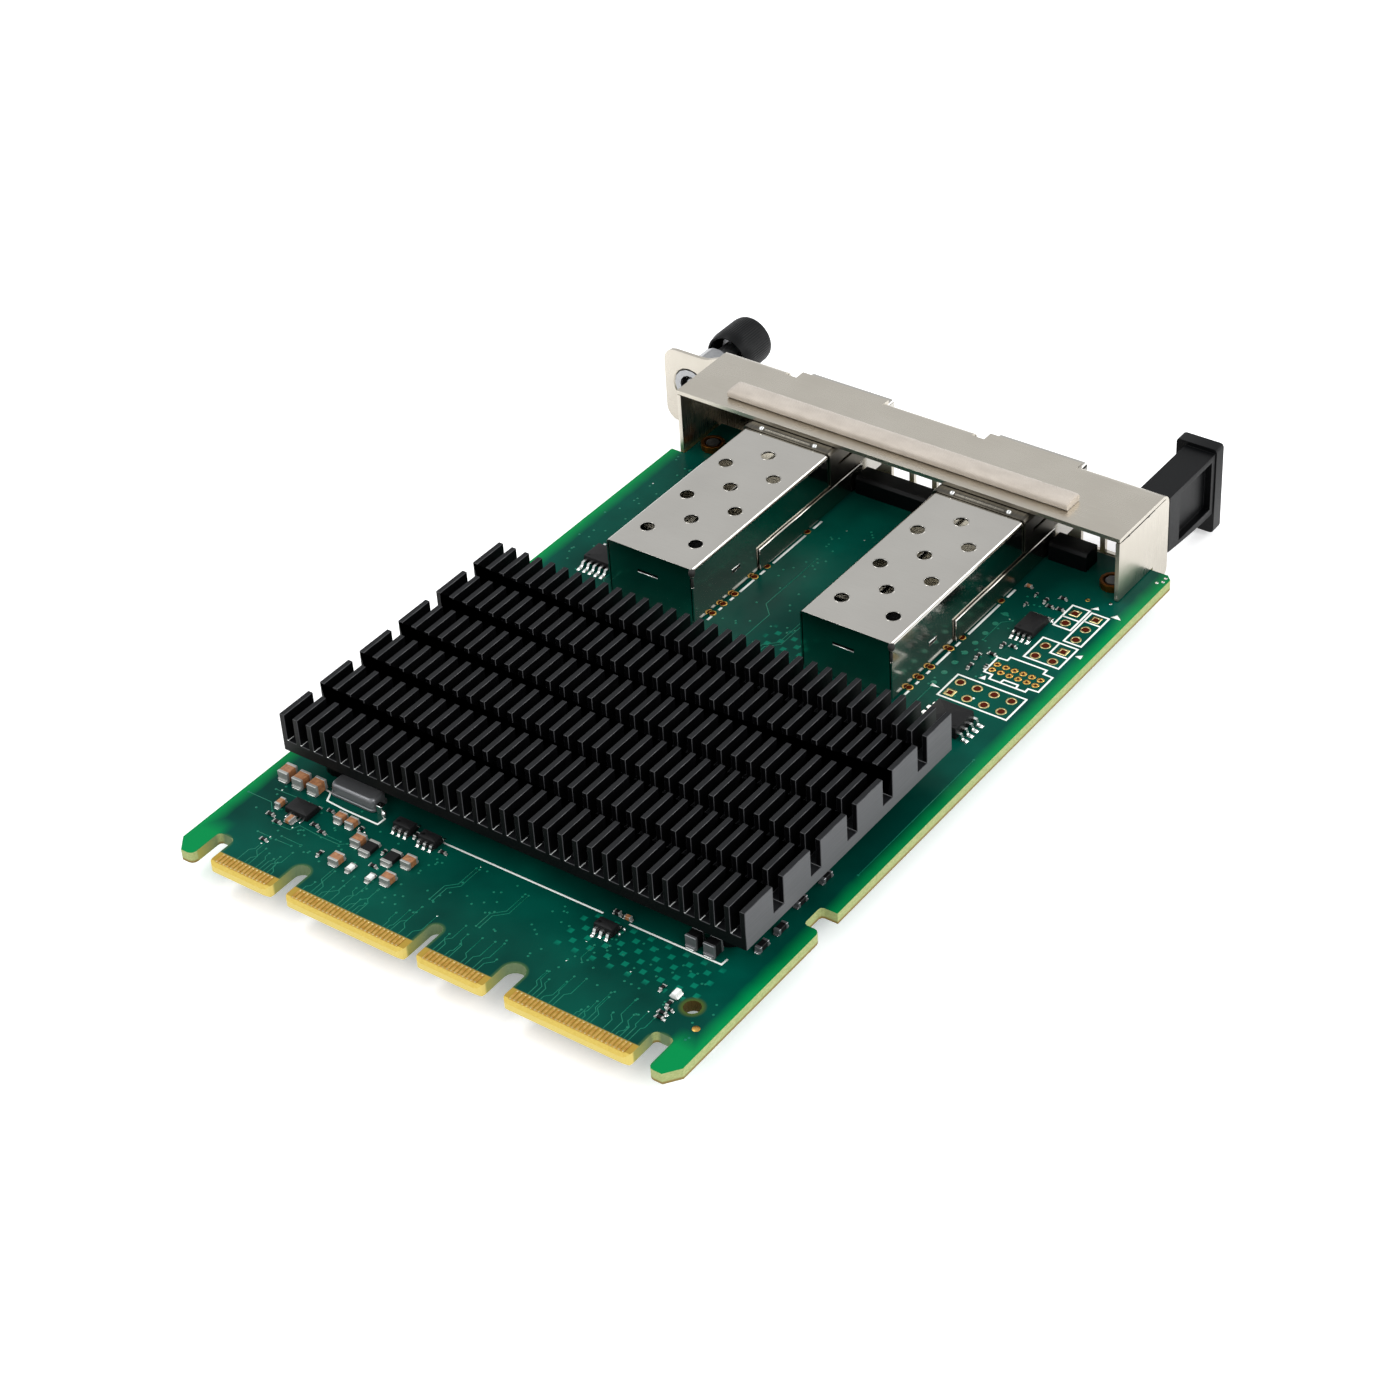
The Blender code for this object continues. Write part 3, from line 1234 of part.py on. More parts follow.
make_board()
make_contacts()
make_heat_sink()
make_controller()
make_sink_screws()
make_cages()
make_bracket()
make_gasket()
make_bracket_fasteners()
make_thumbscrew()
make_pull_tab()
make_housings()
make_components()
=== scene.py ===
"""The looks of the mezzanine network card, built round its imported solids.

Positions are in card millimetres: X across the board from its middle, Y from the tips of the edge
tongues, Z from the board's top face. metres() turns them into the frame's own metres.
"""

import bmesh
import bpy
import numpy as np
from mathutils import Matrix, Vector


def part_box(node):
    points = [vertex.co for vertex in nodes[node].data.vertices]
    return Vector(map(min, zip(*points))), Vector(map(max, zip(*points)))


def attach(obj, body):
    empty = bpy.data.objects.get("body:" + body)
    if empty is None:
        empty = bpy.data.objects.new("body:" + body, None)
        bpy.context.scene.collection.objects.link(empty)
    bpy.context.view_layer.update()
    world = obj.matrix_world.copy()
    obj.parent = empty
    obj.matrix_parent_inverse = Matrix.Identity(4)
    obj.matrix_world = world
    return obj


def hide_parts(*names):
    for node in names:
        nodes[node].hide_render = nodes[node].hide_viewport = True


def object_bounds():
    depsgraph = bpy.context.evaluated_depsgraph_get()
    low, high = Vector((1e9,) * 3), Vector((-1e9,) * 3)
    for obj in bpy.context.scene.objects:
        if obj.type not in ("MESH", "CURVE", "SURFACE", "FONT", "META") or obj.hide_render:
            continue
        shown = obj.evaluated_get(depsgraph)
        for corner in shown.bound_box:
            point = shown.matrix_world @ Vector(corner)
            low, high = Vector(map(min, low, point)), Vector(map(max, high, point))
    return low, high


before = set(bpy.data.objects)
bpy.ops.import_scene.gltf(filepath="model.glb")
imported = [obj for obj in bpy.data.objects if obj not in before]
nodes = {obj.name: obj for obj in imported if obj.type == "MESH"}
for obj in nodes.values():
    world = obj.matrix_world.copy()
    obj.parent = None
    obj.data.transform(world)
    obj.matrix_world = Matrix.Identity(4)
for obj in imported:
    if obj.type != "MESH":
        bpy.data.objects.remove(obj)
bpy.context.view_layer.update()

TIPS_Y = -56.55
BOARD_TOP = 1.6
MM = 0.001
ORIGIN = np.array((0.0, TIPS_Y, BOARD_TOP))

HALF_BOARD = 38.0
PORT_CENTRES = (-16.9, 14.1)
# Each key slot between the tongues: left and right wall, and its reach
KEY_SLOTS = ((-34.65, -32.1, 5.0), (-22.4, -19.9, 5.9), (-1.45, 0.45, 6.2), (10.4, 13.5, 5.9),
             (31.7, 34.5, 5.3))
CONTACT_COUNTS = (14, 28, 14, 28)
CONTACT_PITCH = 0.6
CONTACT_WIDTH = 0.36


# Surfaces worked out as whole arrays

def metres(points):
    """Card millimetres as metres in the frame: shift to the frame's origin, then scale."""
    return (np.asarray(points, float) + ORIGIN) * MM


def card_box(node):
    """Lowest and highest corner of a CAD node in card millimetres."""
    low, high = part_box(node)
    return np.array(low) / MM - ORIGIN, np.array(high) / MM - ORIGIN


def loft(rings, closed=False):
    """A skin over a grid of points: ring i, point j. Neighbouring points are joined by quads, and
    an open skin has each end ring filled by a fan round its mean point."""
    rings = np.asarray(rings, float)
    count, sides = rings.shape[:2]
    points = rings.reshape(-1, 3)
    i = np.arange(count if closed else count - 1)[:, None]
    j = np.arange(sides)[None, :]
    beside = (j + 1) % sides
    after = (i + 1) % count
    quads = np.stack([i * sides + j, i * sides + beside, after * sides + beside,
                      after * sides + j], -1).reshape(-1, 4)
    if closed:
        return points, quads, np.zeros((0, 3), int)
    first = len(points)
    points = np.vstack([points, rings[0].mean(0), rings[-1].mean(0)])
    j = np.arange(sides)
    beside = (j + 1) % sides
    last = (count - 1) * sides
    low = np.stack([beside, j, np.full(sides, first)], -1)
    high = np.stack([last + j, last + beside, np.full(sides, first + 1)], -1)
    return points, quads, np.vstack([low, high])


def gather(shapes):
    """Several skins as one, each with its point numbers shifted past the ones before it."""
    shapes = list(shapes)
    steps = np.cumsum([0] + [len(shape[0]) for shape in shapes[:-1]])
    return (np.vstack([shape[0] for shape in shapes]),
            np.vstack([shape[1] + step for shape, step in zip(shapes, steps)]),
            np.vstack([shape[2] + step for shape, step in zip(shapes, steps)]))


def repeat(shape, places):
    """One skin at many places: each place is added to all points of a copy, and the faces of the
    n-th copy count on from n times the points of one."""
    points, quads, tris = shape
    places = np.asarray(places, float).reshape(-1, 1, 3)
    step = np.arange(len(places))[:, None, None] * len(points)
    return ((points[None] + places).reshape(-1, 3), (quads[None] + step).reshape(-1, 4),
            (tris[None] + step).reshape(-1, 3))


def rounded_ring(half_x, half_y, radius, steps=3):
    """A rectangle's outline: each corner's centre plus the radius along a turning direction."""
    turn = np.linspace(0, np.pi / 2, steps)[None, :] + np.arange(4)[:, None] * np.pi / 2
    x = np.array([1, -1, -1, 1])[:, None] * (half_x - radius) + radius * np.cos(turn)
    y = np.array([1, 1, -1, -1])[:, None] * (half_y - radius) + radius * np.sin(turn)
    return np.stack([x, y], -1).reshape(-1, 2)


def at_height(ring, z):
    """A flat outline lifted to a height."""
    return np.column_stack([ring, np.full(len(ring), z)])


def soft_block(width, depth, height, radius, steps=3, taper=0.0):
    """A block on Z = 0 with rounded edges: its outline shrinks by radius * (1 - sin a) while the
    height runs through radius * (1 - cos a) at the foot, and mirrored at the top. The outline
    also shrinks by taper from foot to top."""
    a = np.linspace(0, np.pi / 2, steps)
    inset = radius * (1 - np.sin(a))
    rise = radius * (1 - np.cos(a))
    insets = np.concatenate([inset, inset[::-1]])
    levels = np.concatenate([rise, height - rise[::-1]])
    rings = [at_height(rounded_ring(width / 2 - gap - taper * z / height,
                                    depth / 2 - gap - taper * z / height,
                                    max(radius - gap, radius * 0.3), steps), z)
             for gap, z in zip(insets, levels)]
    return loft(rings)


def blocks(sizes, centres, radius):
    """Small blocks of one rounding: the unit block's points move out by half of each size."""
    sizes = np.asarray(sizes, float).reshape(-1, 3)
    centres = np.asarray(centres, float).reshape(-1, 3)
    core = 4 * radius
    points, quads, tris = soft_block(core, core, core, radius, 2)
    stretch = (sizes - core) / 2
    side = np.sign(points - (0, 0, core / 2))
    moved = points[None] + side[None] * stretch[:, None] + (0, 0, 1) * stretch[:, None, 2:3]
    step = np.arange(len(centres))[:, None, None] * len(points)
    return ((moved + centres[:, None]).reshape(-1, 3), (quads[None] + step).reshape(-1, 4),
            (tris[None] + step).reshape(-1, 3))


def turned(profile, sides):
    """A turned solid's rings: each (radius, height) of the profile is swept round Z."""
    profile = np.asarray(profile, float)
    angle = np.arange(sides) * 2 * np.pi / sides
    return np.stack([profile[:, 0:1] * np.cos(angle), profile[:, 0:1] * np.sin(angle),
                     profile[:, 1:2] * np.ones(sides)], -1)


def disc(radius, height, sides=16):
    """A flat round plate with a small rounded rim."""
    return loft(turned([(radius, 0), (radius, height * 0.6), (radius * 0.94, height)], sides))


def washer(outer, inner, height, sides=20):
    """A flat ring: its rectangular section is swept round Z and closed on itself."""
    profile = [(outer, 0), (outer, height), (inner, height), (inner, 0)]
    return loft(turned(profile, sides), closed=True)


def carry(path, profile, up, closed=False):
    """A flat profile carried along a path: at each point it stands square to the mean direction
    of the two runs that meet there, and is widened by the mitre of the bend."""
    path = np.asarray(path, float)
    runs = np.diff(np.vstack([path, path[:1]]) if closed else path, axis=0)
    runs /= np.linalg.norm(runs, axis=1, keepdims=True)
    if closed:
        before, after = np.roll(runs, 1, 0), runs
    else:
        before = np.vstack([runs[:1], runs])
        after = np.vstack([runs, runs[-1:]])
    mean = before + after
    mean /= np.linalg.norm(mean, axis=1, keepdims=True)
    up = np.asarray(up, float)
    side = np.cross(mean, up)
    mitre = 1 / np.maximum((mean * after).sum(1), 0.5)[:, None, None]
    profile = np.asarray(profile, float)
    rings = (path[:, None] + side[:, None] * profile[None, :, 0:1] * mitre
             + up * profile[None, :, 1:2])
    return loft(rings, closed)


def stroke(path, width, height, closed=False):
    """A printed line on the board: a low flat section carried along a path in plan."""
    path = at_height(np.asarray(path, float), 0.0)
    half = width / 2
    profile = [(-half, 0), (half, 0), (half * 0.8, height), (-half * 0.8, height)]
    return carry(path, profile, (0, 0, 1), closed)


def rectangle(x0, y0, x1, y1):
    """Corners of a rectangle in plan."""
    return [(x0, y0), (x1, y0), (x1, y1), (x0, y1)]


def outward(mesh):
    """Turns every closed skin's faces outwards."""
    bm = bmesh.new()
    bm.from_mesh(mesh)
    bmesh.ops.recalc_face_normals(bm, faces=bm.faces)
    bm.to_mesh(mesh)
    bm.free()


def link(name, data):
    """A new object for a mesh, lamp or camera."""
    item = bpy.data.objects.new(name, data)
    bpy.context.scene.collection.objects.link(item)
    return item


def dress(item, body="card", smooth=None, stands_for=()):
    """Shades a finished piece and hands it to the frame."""
    if smooth is not None:
        item.data.shade_smooth()
        item.data.set_sharp_from_angle(angle=np.radians(smooth))
    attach(item, body)
    if stands_for:
        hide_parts(*stands_for)
    return item


def make(name, parts, body="card", smooth=None, stands_for=()):
    """One piece from (skin, material) pairs in card millimetres."""
    points, quads, tris = gather([shape for shape, _ in parts])
    looks = list(dict.fromkeys(look for _, look in parts))
    which = np.concatenate([np.full(len(shape[kind]), looks.index(look))
                            for kind in (1, 2) for shape, look in parts])
    mesh = bpy.data.meshes.new(name)
    corners = np.concatenate([quads.ravel(), tris.ravel()]).astype(np.int32)
    sizes = np.concatenate([np.full(len(quads), 4), np.full(len(tris), 3)])
    starts = np.concatenate([[0], np.cumsum(sizes)[:-1]]).astype(np.int32)
    mesh.vertices.add(len(points))
    mesh.vertices.foreach_set("co", metres(points).ravel())
    mesh.loops.add(len(corners))
    mesh.loops.foreach_set("vertex_index", corners)
    mesh.polygons.add(len(sizes))
    mesh.polygons.foreach_set("loop_start", starts)
    for look in looks:
        mesh.materials.append(look)
    mesh.polygons.foreach_set("material_index", which.astype(np.int32))
    mesh.update(calc_edges=True)
    outward(mesh)
    return dress(link(name, mesh), body, smooth, stands_for)


# Doubles closer than this, in metres, and facets flatter than this, in degrees, are joined
SAME_POINT = 2e-6
SAME_PLANE = 0.5
# A bevel is put only on edges that turn by more than this
SHARP_EDGE = 40


def softened(name, node, look, width, edge_look=None, smooth=35, body="card"):
    """A CAD node's own shape with its edges broken: doubles merged, flat facets joined, then a
    bevel of the given width, whose faces may have a finish of their own."""
    mesh = nodes[node].data.copy()
    mesh.name = name
    bm = bmesh.new()
    bm.from_mesh(mesh)
    bmesh.ops.remove_doubles(bm, verts=bm.verts, dist=SAME_POINT)
    bmesh.ops.dissolve_limit(bm, angle_limit=np.radians(SAME_PLANE), verts=bm.verts,
                             edges=bm.edges)
    bm.to_mesh(mesh)
    bm.free()
    mesh.materials.clear()
    mesh.materials.append(look)
    item = link(name, mesh)
    edges = item.modifiers.new("broken_edges", "BEVEL")
    edges.width = width * MM
    edges.segments = 3 if edge_look is None else 1
    edges.limit_method = "ANGLE"
    edges.angle_limit = np.radians(SHARP_EDGE)
    if edge_look is not None:
        mesh.materials.append(edge_look)
        edges.material = 1
    return dress(item, body, smooth, (node,))


# Finishes

def linear(colour):
    """A hex sRGB colour as linear RGBA."""
    channels = np.array([int(colour[i:i + 2], 16) / 255 for i in (1, 3, 5)])
    low = channels / 12.92
    high = ((channels + 0.055) / 1.055) ** 2.4
    return (*np.where(channels <= 0.04045, low, high), 1.0)


def add(tree, kind, values=(), named=None, out=0, **settings):
    """Adds one node: settings are its own options, values fill its first sockets in turn and
    named ones by name or number. A field among them is linked. Returns the chosen output as a
    field, or all of them for None."""
    node = tree.nodes.new("ShaderNode" + kind)
    for key, value in settings.items():
        setattr(node, key, value)
    for socket, value in {**dict(enumerate(values)), **(named or {})}.items():
        if isinstance(value, Field):
            tree.links.new(value.socket, node.inputs[socket])
        else:
            node.inputs[socket].default_value = value
    if out is None:
        return [Field(tree, socket) for socket in node.outputs]
    return Field(tree, node.outputs[out])


class Field:
    """A number, vector or colour over a surface, held as a node's output. Arithmetic on fields
    and plain numbers adds the node for it and gives a new field."""

    def __init__(self, tree, socket):
        self.tree = tree
        self.socket = socket

    def step(self, operation, *others):
        """Any other step of arithmetic, by the Math node's own name for it."""
        return add(self.tree, "Math", (self, *others), operation=operation)

    def __add__(self, other):
        return self.step("ADD", other)

    def __sub__(self, other):
        return self.step("SUBTRACT", other)

    def __rsub__(self, other):
        return add(self.tree, "Math", (other, self), operation="SUBTRACT")

    def __mul__(self, other):
        return self.step("MULTIPLY", other)

    def __abs__(self):
        return self.step("ABSOLUTE")

    def __gt__(self, other):
        return self.step("GREATER_THAN", other)

    def __lt__(self, other):
        return self.step("LESS_THAN", other)

    def axes(self):
        """A vector's three parts."""
        return add(self.tree, "SeparateXYZ", (self,), out=None)

    def ranged(self, low, high, to_low=0.0, to_high=1.0):
        """Maps the range from low to high to another one, held at the ends."""
        return add(self.tree, "MapRange", (self, low, high, to_low, to_high))

    def blend(self, first, second):
        """The first colour where the field is nought and the second where it is one. Each is a
        hex value or a field."""
        first, second = [linear(colour) if isinstance(colour, str) else colour
                         for colour in (first, second)]
        return add(self.tree, "Mix", named={0: self, 6: first, 7: second}, out=2,
                   data_type="RGBA")


def joined(operation, fields):
    """Several fields taken together, two by two, such as the lowest of them all."""
    whole, *others = fields
    for field in others:
        whole = whole.step(operation, field)
    return whole


def fade(field, start, end):
    """One at the start value, falling to nought at the end value."""
    return field.ranged(start, end, 1.0, 0.0)


def distance(across, along):
    """Root of the sum of two squares."""
    return (across * across + along * along).step("SQRT")


def new_finish(name, colour, roughness, metallic=0.0, **constants):
    """A material with its shader's constants set, and the shader for the patterns."""
    made = bpy.data.materials.new(name)
    made.use_nodes = True
    shader = made.node_tree.nodes["Principled BSDF"]
    shader.inputs["Base Color"].default_value = linear(colour)
    shader.inputs["Roughness"].default_value = roughness
    shader.inputs["Metallic"].default_value = metallic
    for key, value in constants.items():
        shader.inputs[key.replace("_", " ").title().replace("Ior", "IOR")].default_value = value
    return made, shader


def drive(shader, socket, field):
    """Lets a field set one of the shader's sockets."""
    field.tree.links.new(field.socket, shader.inputs[socket])


def card_space(shader):
    """Object coordinates in card millimetres."""
    tree = shader.id_data
    place = add(tree, "TexCoord", out="Object")
    return add(tree, "Mapping", (place, (0.0, -TIPS_Y, -BOARD_TOP), (0, 0, 0), (1 / MM,) * 3))


def facing(shader):
    """The parts of the direction that the surface faces."""
    return add(shader.id_data, "NewGeometry", out="Normal").axes()


def noise(place, size, detail):
    """Smooth noise with cells of a size in millimetres, one for all axes or one for each."""
    scale = tuple(1 / np.broadcast_to(size, 3))
    cells = add(place.tree, "Mapping", (place, (0, 0, 0), (0, 0, 0), scale))
    return add(place.tree, "TexNoise", named={"Vector": cells, "Scale": 1.0, "Detail": detail,
                                              "Roughness": 0.5})


def bump(shader, height, depth):
    """Relief of a depth in millimetres."""
    drive(shader, "Normal", add(height.tree, "Bump", named={
        "Height": height, "Distance": depth * MM, "Strength": 1.0}))


def rolled_metal(name, colour, dark, roughness, grain):
    """Plated sheet: the rolling leaves faint streaks of 0.05 mm by some millimetres, and
    handling leaves soft clouds, so the gloss and the tone drift a little."""
    made, shader = new_finish(name, colour, roughness, 1.0)
    place = card_space(shader)
    tone = noise(place, grain, 3.0) * 0.4 + noise(place, 9.0, 2.0) * 0.6
    drive(shader, "Base Color", tone.ranged(0.35, 0.65).blend(dark, colour))
    drive(shader, "Roughness", tone.ranged(0.3, 0.7, roughness * 1.25, roughness * 0.8))
    return made


def moulded(name, colour, roughness, grain=0.12, depth=0.006, **constants):
    """Moulded plastic: the tool's spark-eroded skin gives a fine matt grain."""
    made, shader = new_finish(name, colour, roughness, **constants)
    fine = noise(card_space(shader), grain, 2.0)
    drive(shader, "Roughness", fine.ranged(0.3, 0.7, roughness * 0.9,
                                           min(roughness * 1.15, 1.0)))
    bump(shader, fine, depth)
    return made


def grained(name, colour, roughness, metallic, size, detail, dark, light):
    """A fired or plated skin whose tone drifts from grain to grain."""
    made, shader = new_finish(name, colour, roughness, metallic)
    grain = noise(card_space(shader), size, detail)
    drive(shader, "Base Color", grain.ranged(0.3, 0.7).blend(dark, light))
    return made


HOLE = (33.0, 10.7)
# Test vias under the mask: their pitch, one of them, and the fields x0, x1, y0, y1 they fill
DOT_PITCH = 1.28
DOT_START = (20.83, 11.2)
DOT_FIELDS = ((12.6, 32.9, 10.8, 18.0), (-1.0, 6.0, 65.0, 76.5))
# The tongues' bare ground: middle and half width of their row, where their bevel ends and where
# the mask starts
TONGUES_MIDDLE = -0.2
TONGUES_HALF = 31.95
BEVEL_END = 0.62
MASK_START = 2.15


def board_finish():
    """Glass-fibre laminate under green photo-imaged mask: deep teal over the copper planes, a
    brighter green where they stop short of the long edges and on the legs, olive round the
    milled slots, bare yellow laminate on the tongues, pale cut glass cloth on the edges."""
    made, shader = new_finish("green_mask_on_laminate", "#004A3C", 0.3, specular_ior_level=0.04)
    place = card_space(shader)
    x, y, z = place.axes()
    # Copper stops short of the edge, along a line that wanders a little
    wander = (noise(place, 2.5, 2.0) - 0.5) * 0.5
    from_edge = HALF_BOARD - abs(x)
    leg = fade(y + wander, 4.6, 7.6) * fade(from_edge, 3.1, 4.3)
    rim = fade(from_edge + wander, 0.4, 2.1).step("MAXIMUM", leg)

    # Distance to the nearest slot wall, each slot being a round-ended bar from the front edge
    gaps = []
    for left, right, depth in KEY_SLOTS:
        half = (right - left) / 2
        past_end = (y - (depth - half)).step("MAXIMUM", 0.0)
        gaps.append(distance(x - (left + right) / 2, past_end) - half)
    slots = joined("MINIMUM", gaps)
    ring = fade(slots, 0.05, 0.4) * (1.0 - leg)

    # Vias on the even diamonds of two crossed waves, inside their fields
    waves = [((axis - start) * (np.pi / DOT_PITCH)).step("COSINE")
             for axis, start in zip((x, y), DOT_START)]
    dots = joined("MINIMUM", [abs(wave) for wave in waves]).ranged(0.5, 0.7)
    dots *= waves[0] * waves[1] > 0.0
    dots *= joined("MAXIMUM", [
        fade(joined("MAXIMUM", [abs(axis - (start + end) / 2) - (end - start) / 2
                                for axis, start, end in ((x, x0, x1), (y, y0, y1))]), -0.6, 0.2)
        for x0, x1, y0, y1 in DOT_FIELDS])

    mask = noise(place, 14.0, 3.0).ranged(0.35, 0.65).blend("#00352D", "#004A3D")
    mask = (dots * 0.7).blend(mask, "#0A7A60")
    mask = rim.blend(mask, "#007E42")
    mask = (ring * 0.6).blend(mask, "#4F6B3C")
    near_hole = fade(distance(x - HOLE[0], y - HOLE[1]), 1.25, 1.75)
    mask = (near_hole * 0.7).blend(mask, "#4E5A1E")

    cloth = noise(place, (0.35, 0.35, 0.12), 2.0)
    inner = abs(x - TONGUES_MIDDLE) < TONGUES_HALF
    tongue = fade(y, MASK_START, MASK_START + 0.2) * inner
    bare = cloth.ranged(0.3, 0.7).blend("#C2A850", "#CDB45C")
    bare = ((y > BEVEL_END) * tongue).blend(bare, "#A18538")
    top = tongue.blend(mask, bare)

    side = abs(facing(shader)[2]) < 0.5
    cut = cloth.ranged(0.35, 0.65).blend("#8C9660", "#A2A974")
    cut = fade(z, -1.35, -1.15).blend(cut, "#7C6A3C")
    milled = fade(y, 1.5, 5.0).blend("#6B7C5C", "#8F8C4C")
    cut = (fade(slots, 0.1, 0.3) * (y > 0.9)).blend(cut, milled)
    cut = near_hole.blend(cut, "#4A3E1C")
    cut = (fade(y, 0.95, 1.3) * inner).blend(cut, "#CDB968")
    drive(shader, "Base Color", side.blend(top, cut))
    drive(shader, "Roughness", side.step("MAXIMUM", tongue).ranged(0.0, 1.0, 0.3, 0.42))
    bump(shader, noise(place, 0.5, 2.0), 0.003)
    return made


def cloth_finish():
    """Conductive cloth: nickel-coated polyester taffeta with a thread about every 0.3 mm, which
    is coarser than the real one so that it shows."""
    made, shader = new_finish("nickel_coated_taffeta", "#B9AEA2", 0.5, 0.55, sheen_weight=0.3)
    place = card_space(shader)
    x, y, z = place.axes()
    thread = 0.3
    warp, weft = [(along * (2 * np.pi / thread)).step("SINE") for along in (x, y + z)]
    weave = warp * weft
    tone = weave * 0.12 + (noise(place, (3.0, 1.5, 1.5), 3.0) * 0.45 + 0.3)
    drive(shader, "Base Color", tone.ranged(0.25, 0.75).blend("#A89E92", "#CEC4B8"))
    bump(shader, weave, 0.02)
    return made


# The sink's flanks, whose side faces get a painted highlight, lie outside this, and a face looks
# along an axis above this cosine
FLANK_START = 35.2
NEARLY_SQUARE = 0.9


def sink_finish():
    """Extruded aluminium, cut across and black anodised: the dye swallows nearly all light and
    the die lines leave a dull streaky gloss. The fins' upward faces are painted a shade lighter
    and the side faces of the outer flanks are painted grey, both as painted light."""
    made, shader = new_finish("black_anodised_with_painted_flank_light", "#050506", 0.45,
                              specular_ior_level=0.16)
    place = card_space(shader)
    lines = noise(place, (0.15, 6.0, 0.15), 3.0)
    across, _, upward = facing(shader)
    # Painted highlight: the side faces of the outer flanks are painted grey for the light falling
    # on them
    lit_flank = (abs(place.axes()[0]) > FLANK_START) * (abs(across) > NEARLY_SQUARE)
    # Painted light: faces that look upwards are painted a shade lighter than the black dye
    dye_and_lit_tops = (upward > NEARLY_SQUARE).blend(lines.blend("#010102", "#040405"), "#131416")
    drive(shader, "Base Color", lit_flank.blend(dye_and_lit_tops, "#4A4B4D"))
    drive(shader, "Roughness", lines.ranged(0.3, 0.7, 0.36, 0.52))
    return made


look_board = board_finish()
look_sink = sink_finish()
look_cloth = cloth_finish()
# Sintered dielectric: fine-grained tan ceramic, each layer stack a little different
look_ceramic = grained("sintered_tan_ceramic", "#B07A4E", 0.4, 0.0, 0.4, 3.0, "#845638", "#AE7A50")
# Immersion gold over nickel on etched copper: warm orange, softly rough
look_gold = grained("immersion_gold", "#D2A452", 0.28, 1.0, 0.6, 2.0, "#C08F40", "#DCB464")
# Hot-tinned sheet: bright and smooth, with slightly warm reflections
look_tin = rolled_metal("tinned_steel_sheet", "#C4C1BA", "#BDBAB3", 0.13, (3.0, 0.08, 3.0))
# The tray of the port is the same sheet, scuffed by the modules that slide on it
look_tray = rolled_metal("scuffed_tray_sheet", "#A9A69D", "#9B988F", 0.22, (3.0, 0.08, 3.0))
# Nickel-plated folded sheet: satin and a little yellow
look_nickel = rolled_metal("satin_nickel_sheet", "#CBC5B9", "#BFB9AD", 0.28, (5.0, 0.1, 5.0))
# Spring sheet of the collars, darkened as painted shade: the dark band under the hood is shade,
# with the hood's dark underside mirrored in it
look_shaded_spring = rolled_metal("spring_sheet_darkened_for_shade", "#6E6A61", "#4C4943", 0.3, (0.1, 3.0, 3.0))
look_steel = rolled_metal("zinc_plated_steel", "#B4B5B6", "#9A9B9D", 0.3, (0.3, 0.3, 0.3))
look_brass = rolled_metal("turned_brass", "#A8692A", "#84501C", 0.32, (2.0, 2.0, 0.05))
look_solder = rolled_metal("reflowed_solder", "#EEEFEC", "#D2D4D2", 0.2, (0.5, 0.5, 0.5))
# Fired and tinned ends of ceramic parts: grainy, so they shine only softly
look_tinned_end = moulded("tinned_part_end", "#A6A7A3", 0.36, 0.15, 0.004, metallic=0.5)
look_black = moulded("black_moulding", "#030405", 0.42, specular_ior_level=0.16)
look_package = moulded("epoxy_package", "#0E0E0F", 0.5, 0.08, 0.004, specular_ior_level=0.22)
# Shade inside seams and notches of the folded sheet
look_shade = moulded("shaded_seam", "#1C1B19", 0.7, 0.3, 0.001)
look_silk = moulded("white_epoxy_ink", "#F2F5F0", 0.55, 0.1, 0.002)
look_white = moulded("white_ceramic", "#E6E8E4", 0.45, 0.2, 0.002)
look_trace = moulded("mask_over_copper", "#0F6B54", 0.3, 0.3, 0.001, specular_ior_level=0.15)
# Sawn fin edges: the saw and the tumbling thin the black skin, so a greyer line is left
look_sawn = moulded("tumbled_anodised_edge", "#26272A", 0.35, 0.2, 0.001, specular_ior_level=0.5)
look_pad_rubber = moulded("silicone_pad", "#8E959B", 0.8)
look_lid = rolled_metal("nickel_plated_lid", "#A9ABAC", "#96989A", 0.35, (0.5, 3.0, 0.5))
look_bore = moulded("plated_bore_in_shade", "#4A1606", 0.6, specular_ior_level=0.05)
look_ring = rolled_metal("gold_pad_ring", "#D9CB98", "#BDAA70", 0.3, (0.6, 0.6, 0.6))
look_can = moulded("drawn_nickel_can", "#77787A", 0.32, 0.25, 0.002, metallic=0.55)

NODE_LOOKS = (
    ("circuit_board", look_board), ("heat_sink", look_sink), ("controller_chip", look_lid),
    ("thermal_pad", look_pad_rubber), ("edge_contacts", look_gold), ("cage_", look_tin),
    ("emi_collar", look_shaded_spring), ("port_receptacle", look_package), ("bracket_nut", look_brass),
    ("bracket_spacer", look_steel), ("bracket_screw", look_steel), ("heat_sink_screw", look_steel),
    ("pull_tab_screw", look_steel), ("bracket", look_nickel), ("emi_gasket", look_cloth),
    ("thumbscrew_ferrule", look_steel), ("thumbscrew_screw", look_steel),
    ("thumbscrew_knob", look_black), ("pull_tab", look_black), ("led_housing", look_black),
    ("crystal_can", look_can), ("status_led", look_white), ("capacitor", look_ceramic),
    ("edge_capacitor", look_ceramic),
)


def paint_nodes():
    """Gives each CAD node the finish of the longest stem that its name starts with."""
    for name, item in nodes.items():
        fitting = [(len(stem), look) for stem, look in NODE_LOOKS if name.startswith(stem)]
        look = max(fitting, key=lambda entry: entry[0])[1] if fitting else look_package
        if not item.material_slots:
            item.data.materials.append(look)
        for holder in item.material_slots:
            holder.material = look


# Printed lines, pads and traces

# Heights and widths of the ink and the pads
INK = 0.02
INK_WIDTH = 0.28
DASH_WIDTH = 0.36
PAD_HEIGHT = 0.03


def prism(corners, height):
    """A filled outline in plan, as a low plate."""
    corners = np.asarray(corners, float)
    return loft([at_height(corners, 0.0), at_height(corners, height)])


